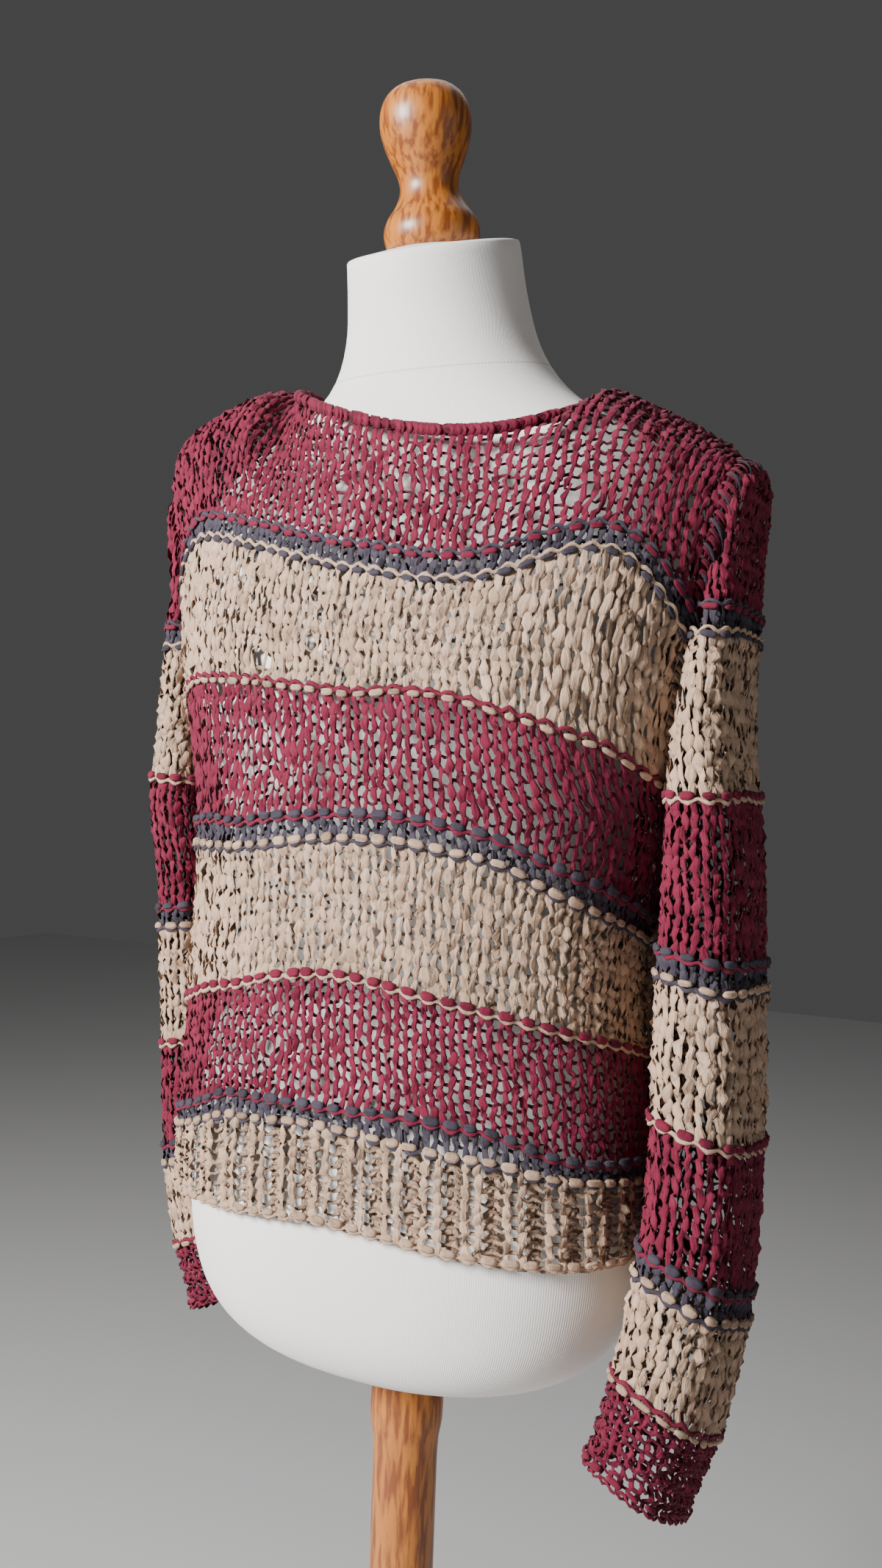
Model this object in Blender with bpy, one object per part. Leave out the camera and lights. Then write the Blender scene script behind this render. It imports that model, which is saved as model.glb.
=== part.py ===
"""Long-sleeved striped knit sweater on a limbless dress form with a turned wooden stand.

Metres, +Z up. The wearer's front faces -Y and the wearer's left is +X. The origin is on the
floor, at the centre of the underside of the round base.
"""
import functools
import math

import bmesh
import bpy
from mathutils import Matrix, Vector

# ---------------------------------------------------------------- driving sizes
SEAM = 0.0003            # air between neighbouring pieces
CLOTH = 0.0026           # wall of the knitted cloth
RIDGE_HEIGHT = 0.0018    # how far a garter ridge stands out of the cloth
RIDGE_HALF = 0.0042      # half the height of a garter ridge, along the cloth
RIB_RELIEF = 0.0022      # how far a knit rib of the hem stands out
HEM_RIBS = 19            # knit ribs across one hem piece
CUFF_RIDGES = 4          # garter ridges on one cuff
BODY_POWER = 2.4         # roundness of the body sections, 2 is an ellipse
SLEEVE_POWER = 2.8       # roundness of the sleeve sections
PANEL_COLUMNS = 18
SLEEVE_COLUMNS = 14

ARMPIT = 1.085           # height of the underarm point
SHOULDER = 1.303         # height of the outer end of the shoulder seam
ARMHOLE_HALF = 0.040     # half the width of the armhole, front to back

BASE_HEIGHT = 0.028
KNOB_LEAN = math.radians(12.0)
NECK_SLANT = math.radians(20.0)   # forward slope of the neck's top
SEAT_RADIUS = 0.0345     # flat seat of the knob in the neck's top
NECK_TOP = Vector((0.0, -0.020, 1.4535))

# Dress form, bottom to top: height, half width, front, back
TORSO = (
    (0.716, 0.060, -0.055, 0.045),
    (0.720, 0.094, -0.070, 0.068),
    (0.731, 0.125, -0.085, 0.088),
    (0.750, 0.145, -0.097, 0.099),
    (0.776, 0.157, -0.103, 0.105),
    (0.812, 0.163, -0.105, 0.107),
    (0.860, 0.162, -0.103, 0.105),
    (0.930, 0.149, -0.097, 0.092),
    (0.990, 0.134, -0.090, 0.080),
    (1.060, 0.140, -0.095, 0.087),
    (1.130, 0.152, -0.118, 0.095),
    (1.170, 0.158, -0.126, 0.098),
    (1.220, 0.165, -0.114, 0.102),
    (1.265, 0.175, -0.091, 0.100),
    (1.295, 0.176, -0.074, 0.096),
    (1.314, 0.162, -0.066, 0.090),
    (1.332, 0.134, -0.061, 0.084),
    (1.352, 0.101, -0.058, 0.078),
    (1.372, 0.080, -0.058, 0.071),
    (1.396, 0.067, -0.062, 0.059),
    (1.424, 0.061, -0.068, 0.044),
    (1.455, 0.058, -0.074, 0.034),
)

# Outer face of the sweater's body, bottom to top: height, half width, front, back
BODY = (
    (0.780, 0.169, -0.112, 0.112),
    (0.815, 0.170, -0.113, 0.113),
    (0.860, 0.170, -0.113, 0.112),
    (0.910, 0.165, -0.114, 0.106),
    (0.970, 0.160, -0.117, 0.099),
    (1.030, 0.162, -0.122, 0.099),
    (1.080, 0.169, -0.128, 0.103),
    (1.130, 0.178, -0.135, 0.107),
    (1.170, 0.187, -0.137, 0.110),
    (1.210, 0.196, -0.130, 0.113),
    (1.250, 0.203, -0.115, 0.114),
    (1.290, 0.208, -0.095, 0.112),
)
# How the sweater hangs on the form: height, shift towards the wearer's left, turn of the left
# and of the right side
SETTLE = (
    (0.780, 0.0, 0.0, 0.0),
    (0.960, 0.0, 0.0, 0.0),
    (1.050, 0.004, 0.02, 0.06),
    (1.100, 0.007, 0.04, 0.09),
    (1.200, 0.009, 0.05, 0.09),
    (1.300, 0.006, 0.03, 0.04),
    (1.400, 0.006, 0.03, 0.04),
)

# Where each course of a colour change runs. Each row: its name, then its height at these columns.
COLUMNS = (-1.0, -0.7, -0.35, 0.0, 0.35, 0.7, 1.0)
FRONT_COURSES = (
    ("hem", 0.820, 0.820, 0.826, 0.832, 0.825, 0.819, 0.822),
    ("rib_top", 0.858, 0.861, 0.883, 0.890, 0.882, 0.869, 0.862),
    ("low_slate", 0.870, 0.873, 0.897, 0.902, 0.901, 0.880, 0.875),
    ("low_burgundy", 0.936, 0.950, 0.969, 0.984, 0.972, 0.955, 0.936),
    ("mid_taupe", 1.034, 1.052, 1.056, 1.065, 1.060, 1.030, 1.006),
    ("mid_slate", 1.050, 1.068, 1.073, 1.080, 1.075, 1.045, 1.020),
    ("high_burgundy", 1.128, 1.160, 1.160, 1.153, 1.149, 1.127, 1.100),
    ("high_taupe", 1.210, 1.258, 1.245, 1.226, 1.216, 1.235, 1.186),
    ("high_slate", 1.226, 1.274, 1.259, 1.241, 1.231, 1.248, 1.202),
)
BACK_COURSES = (
    ("hem", 0.820, 0.818, 0.816, 0.815, 0.816, 0.818, 0.822),
    ("rib_top", 0.858, 0.866, 0.870, 0.872, 0.870, 0.866, 0.862),
    ("low_slate", 0.870, 0.880, 0.885, 0.887, 0.885, 0.880, 0.875),
    ("low_burgundy", 0.936, 0.950, 0.960, 0.964, 0.960, 0.950, 0.936),
    ("mid_taupe", 1.034, 1.046, 1.056, 1.060, 1.054, 1.036, 1.006),
    ("mid_slate", 1.050, 1.062, 1.072, 1.076, 1.070, 1.052, 1.020),
    ("high_burgundy", 1.128, 1.146, 1.156, 1.158, 1.152, 1.134, 1.100),
    ("high_taupe", 1.210, 1.232, 1.240, 1.240, 1.236, 1.222, 1.186),
    ("high_slate", 1.226, 1.248, 1.256, 1.256, 1.252, 1.238, 1.202),
)

# Shoulder seam, which both panels share: column, x, y, z
SHOULDER_SEAM = (
    (-1.0000, -0.214, -0.003, 1.312),
    (-0.8400, -0.203, 0.000, 1.350),
    (-0.6800, -0.167, 0.004, 1.369),
    (-0.5556, -0.124, 0.008, 1.379),
    (0.5556, 0.120, 0.006, 1.353),
    (0.6800, 0.154, 0.007, 1.338),
    (0.8400, 0.188, 0.004, 1.317),
    (1.0000, 0.210, -0.003, 1.297),
)
# Neck edge of each panel between the shoulder seams: column, x, y, z
FRONT_NECK = (
    (-0.5556, -0.124, 0.008, 1.379),
    (-0.42, -0.100, -0.036, 1.361),
    (-0.22, -0.052, -0.068, 1.338),
    (0.00, 0.000, -0.079, 1.321),
    (0.20, 0.047, -0.080, 1.313),
    (0.36, 0.084, -0.071, 1.315),
    (0.47, 0.109, -0.044, 1.330),
    (0.5556, 0.120, 0.006, 1.353),
)
BACK_NECK = (
    (-0.5556, -0.124, 0.008, 1.379),
    (-0.46, -0.108, 0.062, 1.368),
    (-0.24, -0.058, 0.093, 1.358),
    (0.00, 0.000, 0.099, 1.352),
    (0.24, 0.058, 0.093, 1.349),
    (0.46, 0.105, 0.062, 1.353),
    (0.5556, 0.120, 0.006, 1.353),
)
NECK_COLUMN = 10 / 18    # column where the neck edge ends and the shoulder seam begins

# Left sleeve below the underarm, bottom to top:
# height, x centre, y centre, half depth, half thickness, drop outwards, drop backwards
LEFT_SLEEVE = (
    (0.708, 0.188, -0.078, 0.041, 0.0240, 0.50, 0.45),
    (0.748, 0.198, -0.060, 0.045, 0.0265, 0.50, 0.42),
    (0.800, 0.205, -0.040, 0.049, 0.0285, 0.40, 0.28),
    (0.860, 0.207, -0.024, 0.052, 0.0285, 0.32, 0.16),
    (0.930, 0.205, -0.014, 0.054, 0.0285, 0.26, 0.10),
    (1.000, 0.202, -0.010, 0.054, 0.0270, 0.16, 0.06),
    (1.050, 0.200, -0.011, 0.053, 0.0250, 0.06, 0.02),
    (1.085, 0.1975, -0.0125, 0.052, 0.0230, 0.00, 0.00),
)
RIGHT_SLEEVE = (
    (0.708, 0.165, 0.030, 0.040, 0.0210, 0.45, 0.20),
    (0.748, 0.181, 0.034, 0.044, 0.0220, 0.40, 0.16),
    (0.800, 0.1940, 0.038, 0.047, 0.0220, 0.32, 0.10),
    (0.860, 0.1975, 0.038, 0.049, 0.0225, 0.26, 0.06),
    (0.930, 0.1970, 0.034, 0.050, 0.0230, 0.20, 0.04),
    (1.000, 0.1945, 0.018, 0.051, 0.0230, 0.12, 0.02),
    (1.050, 0.1955, 0.000, 0.052, 0.0225, 0.04, 0.00),
    (1.085, 0.1975, -0.0125, 0.052, 0.0230, 0.00, 0.00),
)
# Sleeve cap, from the shoulder end down: distance below it, half depth, half thickness
SLEEVE_CAP = (
    (0.000, 0.0040, 0.0012),
    (0.003, 0.0095, 0.0036),
    (0.007, 0.0170, 0.0050),
    (0.014, 0.0245, 0.0060),
    (0.030, 0.0310, 0.0070),
    (0.060, 0.0380, 0.0090),
    (0.100, 0.0450, 0.0130),
    (0.140, 0.0490, 0.0165),
    (0.180, 0.0510, 0.0200),
    (0.214, 0.0520, 0.0230),
)
SLEEVE_COURSES = (0.752, 0.807, 0.822, 0.900, 0.988, 1.003, 1.098, 1.192, 1.206)
CUFF_TOP = 0.748
CAP_ROWS = (0.0020, 0.0055, 0.0110, 0.0210, 0.0400)    # top rows, below the shoulder end

# Turned profiles: radius, height above the piece's own foot
KNOB_PROFILE = (
    (0.0270, 0.0000), (0.0302, 0.0025), (0.0320, 0.0085), (0.0318, 0.0150), (0.0290, 0.0215),
    (0.0245, 0.0275), (0.0208, 0.0340), (0.0194, 0.0405), (0.0205, 0.0475), (0.0240, 0.0560),
    (0.0275, 0.0650), (0.0298, 0.0745), (0.0302, 0.0800), (0.0292, 0.0880), (0.0255, 0.0960),
    (0.0190, 0.1015), (0.0110, 0.1040),
)
POLE_PROFILE = (
    (0.0250, 0.0000), (0.0265, 0.0060), (0.0265, 0.0180), (0.0225, 0.0260), (0.0212, 0.0600),
    (0.0217, 0.3400), (0.0217, 0.6050), (0.0222, 0.6280), (0.0240, 0.6370), (0.0248, 0.6490),
    (0.0242, 0.6640), (0.0220, 0.6780), (0.0190, 0.6872),
)
BASE_PROFILE = (
    (0.1610, 0.0000), (0.1650, 0.0035), (0.1650, 0.0110), (0.1600, 0.0165), (0.1480, 0.0185),
    (0.1400, 0.0215), (0.0480, 0.0265), (0.0400, 0.0280),
)

# Colour (linear), roughness
FINISHES = {
    "jersey": ((0.78, 0.77, 0.74), 0.90),
    "wood": ((0.48, 0.20, 0.055), 0.38),
    "burgundy": ((0.27, 0.028, 0.070), 0.85),
    "taupe": ((0.52, 0.42, 0.34), 0.88),
}


# ---------------------------------------------------------------- reading the tables
def read(table, column, at, key=0):
    """Smooth curve through one column of a table, at a value of its key column."""
    keys = [row[key] for row in table]
    values = [row[column] for row in table]
    at = min(max(at, keys[0]), keys[-1])
    last = len(keys) - 1
    i = max(j for j in range(last) if keys[j] <= at)

    def slope(j):
        low, high = max(j - 1, 0), min(j + 1, last)
        return (values[high] - values[low]) / (keys[high] - keys[low])

    span = keys[i + 1] - keys[i]
    t = (at - keys[i]) / span
    return (
        values[i] * (2 * t**3 - 3 * t**2 + 1)
        + values[i + 1] * (3 * t**2 - 2 * t**3)
        + span * (slope(i) * (t**3 - 2 * t**2 + t) + slope(i + 1) * (t**3 - t**2))
    )


def course_height(course, column):
    return read(tuple(zip(COLUMNS, course[1:])), 1, column)


def smooth_step(low, high, value):
    t = min(max((value - low) / (high - low), 0.0), 1.0)
    return t * t * (3 - 2 * t)


def signed_power(value, power):
    return math.copysign(abs(value) ** power, value)


def rounded(half_x, half_y, angle, power):
    """Point of a rounded section round its own centre."""
    return Vector((
        half_x * signed_power(math.cos(angle), 2 / power),
        half_y * signed_power(math.sin(angle), 2 / power),
        0.0,
    ))


def ring_point(table, height, angle, power):
    """Point of a body section of a table of height, half width, front and back."""
    half, front, back = (read(table, k, height) for k in (1, 2, 3))
    centre = Vector((0.0, (front + back) / 2, height))
    return centre + rounded(half, (back - front) / 2, angle, power)


# ---------------------------------------------------------------- the sweater's surface
def settle(point):
    """A point of the sweater moved to how it hangs: turned a little on the form's shoulders."""
    shift, left, right = (read(SETTLE, k, point.z) for k in (1, 2, 3))
    turn = right + (left - right) * smooth_step(-0.15, 0.15, point.x)
    return Vector((point.x + shift, point.y - turn * point.x, point.z))


def armhole_gap(height):
    """Half the opening between the front and the back panel at this height."""
    t = (height - (ARMPIT + SHOULDER) / 2) / ((SHOULDER - ARMPIT) / 2)
    if abs(t) >= 1:
        return 0.0
    return ARMHOLE_HALF * ((1 - t**2) ** 0.8 if t < 0 else (1 - t**2.5) ** 0.4)


def body_point(front, column, height):
    """Point of the front or back panel below the yoke, at a column from -1 to 1."""
    depth = (read(BODY, 3, height) - read(BODY, 2, height)) / 2
    edge = math.asin((armhole_gap(height) / depth) ** (BODY_POWER / 2))
    steps = 40
    angles = [edge + (math.pi - 2 * edge) * k / steps for k in range(steps + 1)]
    way = [ring_point(BODY, height, math.pi + a if front else math.pi - a, BODY_POWER)
           for a in angles]
    lengths = [0.0]
    for a, b in zip(way, way[1:]):
        lengths.append(lengths[-1] + (b - a).length)
    target = (column + 1) / 2 * lengths[-1]
    i = min(max(j for j in range(steps + 1) if lengths[j] <= target + 1e-12), steps - 1)
    t = (target - lengths[i]) / (lengths[i + 1] - lengths[i])
    return way[i].lerp(way[i + 1], t)


def yoke_point(front, column, rise):
    """Point between the top slate course (rise 0) and the upper edge (rise 1)."""
    courses, neck = (FRONT_COURSES, FRONT_NECK) if front else (BACK_COURSES, BACK_NECK)
    top = neck if abs(column) < NECK_COLUMN - 1e-6 else SHOULDER_SEAM
    height = course_height(courses[-1], column)
    start = body_point(front, column, height)
    up = body_point(front, column, height + 0.004) - body_point(front, column, height - 0.004)
    end = Vector([read(top, k, column) for k in (1, 2, 3)])
    over = smooth_step(0.36, 0.56, abs(column))
    back = 1.0 if front else -1.0
    arrive = Vector((0.0, back * (0.35 + 0.65 * over), 0.94 - 0.90 * over)).normalized()
    reach = (end - start).length / 3
    first = start + up.normalized() * reach
    fuller = 0.45 * (1 - smooth_step(0.80, 1.0, -column)) if column < 0 else 0.0
    second = end - arrive * reach * (1 + (0.35 + fuller) * over)
    t, u = rise, 1 - rise
    return start * u**3 + first * 3 * u * u * t + second * 3 * u * t * t + end * t**3


def panel_point(front, column, level):
    """Point of a panel. Level 0 is the hem edge, 1 to 8 the colour changes, 9 the upper edge."""
    courses = FRONT_COURSES if front else BACK_COURSES
    last = len(courses) - 1
    if level >= last:
        point = yoke_point(front, column, min(level - last, 1.0))
    else:
        low = int(level)
        a, b = (course_height(courses[k], column) for k in (low, low + 1))
        point = body_point(front, column, a + (b - a) * (level - low))
    return settle(point + Vector((0.0, -SEAM if front else SEAM, 0.0)) * 0.6)


@functools.lru_cache(maxsize=None)
def armhole(side, height):
    """Half width from the middle, centre and half gap of one armhole between the panels."""
    edges = []
    for front in (True, False):
        courses = FRONT_COURSES if front else BACK_COURSES
        if height <= course_height(courses[-1], side):
            edges.append(body_point(front, side, height))
            continue
        low, high = 0.0, 1.0
        for _ in range(16):
            middle = (low + high) / 2
            if yoke_point(front, side, middle).z < height:
                low = middle
            else:
                high = middle
        edges.append(yoke_point(front, side, high))
    front_edge, back_edge = edges
    middle = (front_edge + back_edge) / 2
    return abs(middle.x), middle.y, (back_edge.y - front_edge.y) / 2


def shoulder_end(side):
    return SHOULDER_SEAM[-1][3] if side > 0 else SHOULDER_SEAM[0][3]


def sleeve_point(side, around, height):
    """Point of a sleeve, from the front seam (around 0) over the outside to the back seam (1)."""
    if height <= ARMPIT:
        table = LEFT_SLEEVE if side > 0 else RIGHT_SLEEVE
        x, y, depth, thick, out, back = (read(table, k, height) for k in range(1, 7))
        start = 0.0
    else:
        below = shoulder_end(side) - height
        depth, thick = (read(SLEEVE_CAP, k, below) for k in (1, 2))
        edge, y, gap = armhole(side, height)
        gap = max(gap - 0.0006, 0.0)
        depth = (depth**8 + (gap + 0.0012)**8) ** 0.125
        start = math.asin((gap / depth) ** (SLEEVE_POWER / 2))
        x = edge + 0.0022 + thick * math.cos(start) ** (2 / SLEEVE_POWER)
        keep = read(LEFT_SLEEVE, 1, ARMPIT)
        x = keep + (x - keep) * smooth_step(ARMPIT, ARMPIT + 0.03, height)
        out = back = 0.0
    steps = 48
    angles = [math.pi + start + (2 * math.pi - 2 * start) * k / steps for k in range(steps + 1)]
    way = [rounded(thick, depth, a, SLEEVE_POWER) for a in angles]
    lengths = [0.0]
    for a, b in zip(way, way[1:]):
        lengths.append(lengths[-1] + (b - a).length)
    target = around * lengths[-1]
    i = min(max(j for j in range(steps + 1) if lengths[j] <= target + 1e-12), steps - 1)
    t = (target - lengths[i]) / (lengths[i + 1] - lengths[i])
    local = way[i].lerp(way[i + 1], t)
    drop = out * local.x + back * local.y
    return settle(Vector((side * (x + local.x), y + local.y, height - drop)))


# ---------------------------------------------------------------- making meshes
def finish(name):
    colour, roughness = FINISHES[name]
    material = bpy.data.materials.get(name) or bpy.data.materials.new(name)
    material.use_nodes = True
    shader = material.node_tree.nodes["Principled BSDF"]
    shader.inputs["Base Color"].default_value = (*colour, 1.0)
    shader.inputs["Roughness"].default_value = roughness
    shader.inputs["Metallic"].default_value = 0.0
    return material


def place(name, mesh_maker, material):
    """New object from a bmesh, with its faces turned outwards."""
    bmesh.ops.recalc_face_normals(mesh_maker, faces=mesh_maker.faces)
    mesh = bpy.data.meshes.new(name)
    mesh_maker.to_mesh(mesh)
    mesh_maker.free()
    mesh.materials.append(finish(material))
    mesh.shade_smooth()
    mesh.set_sharp_from_angle(angle=math.radians(40))
    piece = bpy.data.objects.new(name, mesh)
    bpy.context.scene.collection.objects.link(piece)
    return piece


def grid_normals(grid, wraps):
    """Outward normal at each point of a grid of rows of points."""
    normals = []
    for i, row in enumerate(grid):
        line = []
        for j in range(len(row)):
            closed = wraps[i]
            left = row[j - 1] if j else (row[-2] if closed else row[0])
            right = row[j + 1] if j + 1 < len(row) else (row[1] if closed else row[-1])
            below, above = grid[max(i - 1, 0)][j], grid[min(i + 1, len(grid) - 1)][j]
            line.append((right - left).cross(above - below).normalized())
        normals.append(line)
    return normals


def seam_line(grid, i, j):
    """Direction of the shoulder seam in the top row, or of the side seam in a row below it."""
    top, last = len(grid) - 1, len(grid[0]) - 1
    if i < top:
        return grid[i + 1][j] - grid[max(i - 1, 0)][j]
    outer = j - 1 if 0 < j < last / 2 else j
    return grid[i][min(outer + 1, last)] - grid[i][min(outer, last - 1)]


def cloth(name, grid, lifts, material, wraps=None, turn=1.0, seams=()):
    """Wall of cloth through a grid of points. Its outer points are lifted, its inner ones plain.

    A row that wraps shares its first and last point, so that the wall is a tube there. Points
    listed as (row, column) in seams get a wall across the seam between the front and the back.
    """
    wraps = wraps or [False] * len(grid)
    normals = grid_normals(grid, wraps)
    for i, j in seams:
        across = seam_line(grid, i, j).cross(Vector((0.0, 1.0, 0.0))).normalized()
        normals[i][j] = across * math.copysign(1.0, across.dot(normals[i][j]))
    maker = bmesh.new()
    outer, inner = [], []
    for i, row in enumerate(grid):
        outer_row, inner_row = [], []
        for j, point in enumerate(row):
            if wraps[i] and j == len(row) - 1:
                outer_row.append(outer_row[0])
                inner_row.append(inner_row[0])
                continue
            normal = normals[i][j] * turn
            outer_row.append(maker.verts.new(point + normal * lifts[i][j]))
            inner_row.append(maker.verts.new(point - normal * CLOTH))
        outer.append(outer_row)
        inner.append(inner_row)
    rows, last = len(grid), len(grid[0]) - 1
    for i in range(rows - 1):
        for j in range(last):
            maker.faces.new((outer[i][j], outer[i][j + 1], outer[i + 1][j + 1], outer[i + 1][j]))
            maker.faces.new((inner[i][j], inner[i + 1][j], inner[i + 1][j + 1], inner[i][j + 1]))
        if not (wraps[i] and wraps[i + 1]):
            for j in (0, last):
                maker.faces.new((outer[i][j], outer[i + 1][j], inner[i + 1][j], inner[i][j]))
    for i in (0, rows - 1):
        for j in range(last):
            maker.faces.new((outer[i][j], inner[i][j], inner[i][j + 1], outer[i][j + 1]))
    return place(name, maker, material)


def rings(name, loops, material):
    """Closed solid through a stack of loops, each end closed round its middle."""
    maker = bmesh.new()
    made = [[maker.verts.new(p) for p in loop] for loop in loops]
    count = len(loops[0])
    for low, high in zip(made, made[1:]):
        for k in range(count):
            m = (k + 1) % count
            maker.faces.new((low[k], low[m], high[m], high[k]))
    for loop, points in ((made[0], loops[0]), (made[-1], loops[-1])):
        middle = maker.verts.new(sum(points, Vector()) / count)
        for k in range(count):
            maker.faces.new((loop[k], loop[(k + 1) % count], middle))
    return place(name, maker, material)


def turned(name, profile, sides, at, material):
    """Solid of revolution about its own Z axis, moved to its place."""
    loops = [
        [at @ Vector((r * math.cos(2 * math.pi * k / sides),
                      r * math.sin(2 * math.pi * k / sides), h)) for k in range(sides)]
        for r, h in profile
    ]
    return rings(name, loops, material)


# ---------------------------------------------------------------- the pieces
def dress_form():
    sides = 30
    loops = []
    for height, *_ in TORSO:
        power = 2.3 - 0.3 * smooth_step(1.32, 1.37, height)
        loop = [ring_point(TORSO, height, 2 * math.pi * k / sides, power) for k in range(sides)]
        tilt = math.tan(NECK_SLANT) * smooth_step(1.39, 1.455, height)
        for point in loop:
            point.z += tilt * (point.y - NECK_TOP.y)
        loops.append(loop)
    seat = Matrix.Translation(NECK_TOP) @ Matrix.Rotation(KNOB_LEAN, 4, "X")
    loops.append([seat @ Vector((SEAT_RADIUS * math.cos(2 * math.pi * k / sides),
                                 SEAT_RADIUS * math.sin(2 * math.pi * k / sides), 0.0))
                  for k in range(sides)])
    rings("form_torso", loops, "jersey")


def stand():
    turned("stand_base", BASE_PROFILE, 32, Matrix.Identity(4), "wood")
    foot = Matrix.Translation((0.0, 0.0, BASE_HEIGHT + SEAM))
    turned("stand_pole", POLE_PROFILE, 16, foot, "wood")
    lean = Matrix.Rotation(KNOB_LEAN, 4, "X")
    seat = Matrix.Translation(NECK_TOP) @ lean @ Matrix.Translation((0.0, 0.0, SEAM))
    turned("neck_knob", KNOB_PROFILE, 18, seat, "wood")


def panel_levels():
    """Levels of a panel's rows: three at each garter ridge and some plain ones between."""
    levels = [1.0, 1.5]
    for course in range(2, 9):
        paired = course in (4, 7)        # a slate band, only two courses high, lies above it
        if course in (3, 4, 6, 7):
            levels.append(course - 0.055)
        levels += [float(course), course + (0.5 if paired else 0.055)]
        if course in (2, 3, 5, 6):
            levels += [course + 0.35, course + 0.67]
    return levels + [8.30, 8.55, 8.78, 9.0]


def panel_column(k):
    return -1 + 2 * k / PANEL_COLUMNS


def chord_point(front, column, level):
    """Point on the straight edge between two neighbouring columns of a panel."""
    place_in_row = (column + 1) / 2 * PANEL_COLUMNS
    k = min(int(place_in_row), PANEL_COLUMNS - 1)
    left = panel_point(front, panel_column(k), level)
    return left.lerp(panel_point(front, panel_column(k + 1), level), place_in_row - k)


def panel(name, front, material):
    levels = panel_levels()
    grid, lifts, seams = [], [], []
    for i, level in enumerate(levels):
        on_ridge = level == round(level) and 1 < level < 9
        start = SEAM * 0.8 if level == 1.0 else 0.0
        row = []
        for k in range(PANEL_COLUMNS + 1):
            point = panel_point(front, panel_column(k), level)
            row.append(point + Vector((0.0, 0.0, start)))
            on_shoulder = level == 9.0 and abs(panel_column(k)) > NECK_COLUMN - 0.01
            if on_shoulder or k in (0, PANEL_COLUMNS):
                seams.append((i, k))
        grid.append(row)
        lifts.append([RIDGE_HEIGHT if on_ridge else 0.0] * len(row))
    cloth(name, grid, lifts, material, turn=1.0 if front else -1.0, seams=seams)


def hem_rib(name, front):
    """Band of the hem in knit-one, purl-one rib."""
    columns = HEM_RIBS * 4
    grid, lifts, seams = [], [], []
    for i, level in enumerate((0.0, 0.12, 0.92, 1.0)):
        row, lift = [], []
        for k in range(columns + 1):
            column = -1 + 2 * k / columns
            if level == 1.0:
                point = chord_point(front, column, level) - Vector((0.0, 0.0, SEAM * 0.8))
            else:
                point = panel_point(front, column, level)
            row.append(point)
            rise = (0.0, 1.0, 1.0, 0.0)[k % 4]
            lift.append(RIB_RELIEF * rise if 0.0 < level < 1.0 else 0.0)
        grid.append(row)
        lifts.append(lift)
        seams += [(i, 0), (i, columns)]
    cloth(name, grid, lifts, "taupe", turn=1.0 if front else -1.0, seams=seams)


def sleeve_heights(side):
    top = shoulder_end(side)
    heights = [CUFF_TOP + SEAM * 1.5]
    for low, high in zip(SLEEVE_COURSES, (*SLEEVE_COURSES[1:], top - CAP_ROWS[-1])):
        if low > heights[-1] + 0.006:
            heights.append(low - RIDGE_HALF)
        heights.append(low)
        if high - low < 0.02:
            heights.append((low + high) / 2)
            continue
        heights.append(low + RIDGE_HALF)
        heights.append((low + high) / 2)
    heights.append(ARMPIT)
    heights += [top - row for row in CAP_ROWS]
    heights = sorted(set(round(h, 5) for h in heights))
    return [h for h in heights if h == ARMPIT or abs(h - ARMPIT) > 0.005]


def sleeve(name, side):
    heights = sleeve_heights(side)
    grid, lifts, wraps = [], [], []
    for height in heights:
        on_ridge = any(abs(height - c) < 1e-6 for c in SLEEVE_COURSES[1:])
        row = [sleeve_point(side, k / SLEEVE_COLUMNS, height) for k in range(SLEEVE_COLUMNS + 1)]
        grid.append(row)
        lifts.append([RIDGE_HEIGHT if on_ridge else 0.0] * len(row))
        wraps.append(height <= ARMPIT + 1e-9)
    cloth(name, grid, lifts, "burgundy", wraps, turn=side)


def cuff(name, side):
    """Garter-knit end of a sleeve, with ridges running round it."""
    bottom, top = LEFT_SLEEVE[0][0], CUFF_TOP - SEAM * 1.5
    rows = 2 * CUFF_RIDGES
    grid, lifts = [], []
    for k in range(rows + 1):
        height = bottom + (top - bottom) * k / rows
        row = [sleeve_point(side, j / SLEEVE_COLUMNS, height) for j in range(SLEEVE_COLUMNS + 1)]
        grid.append(row)
        lifts.append([RIDGE_HEIGHT * 0.8 if k % 2 else 0.0] * len(row))
    cloth(name, grid, lifts, "burgundy", [True] * len(grid), turn=side)


def neck_edge_points():
    """Points round the neck edge with the cloth's outward normal, front and then back."""
    points = []
    step = 0.02
    first = round((1 - NECK_COLUMN) * PANEL_COLUMNS / 2)
    across = range(first, PANEL_COLUMNS - first)
    for front, columns in ((True, across), (False, (PANEL_COLUMNS - k for k in across))):
        for k in columns:
            column = panel_column(k)
            edge = panel_point(front, column, 9.0)
            sideways = (panel_point(front, column + step, 8.9)
                        - panel_point(front, column - step, 8.9))
            upwards = edge - panel_point(front, column, 8.85)
            normal = sideways.cross(upwards) * (1.0 if front else -1.0)
            points.append((edge, normal.normalized()))
    return points


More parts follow.
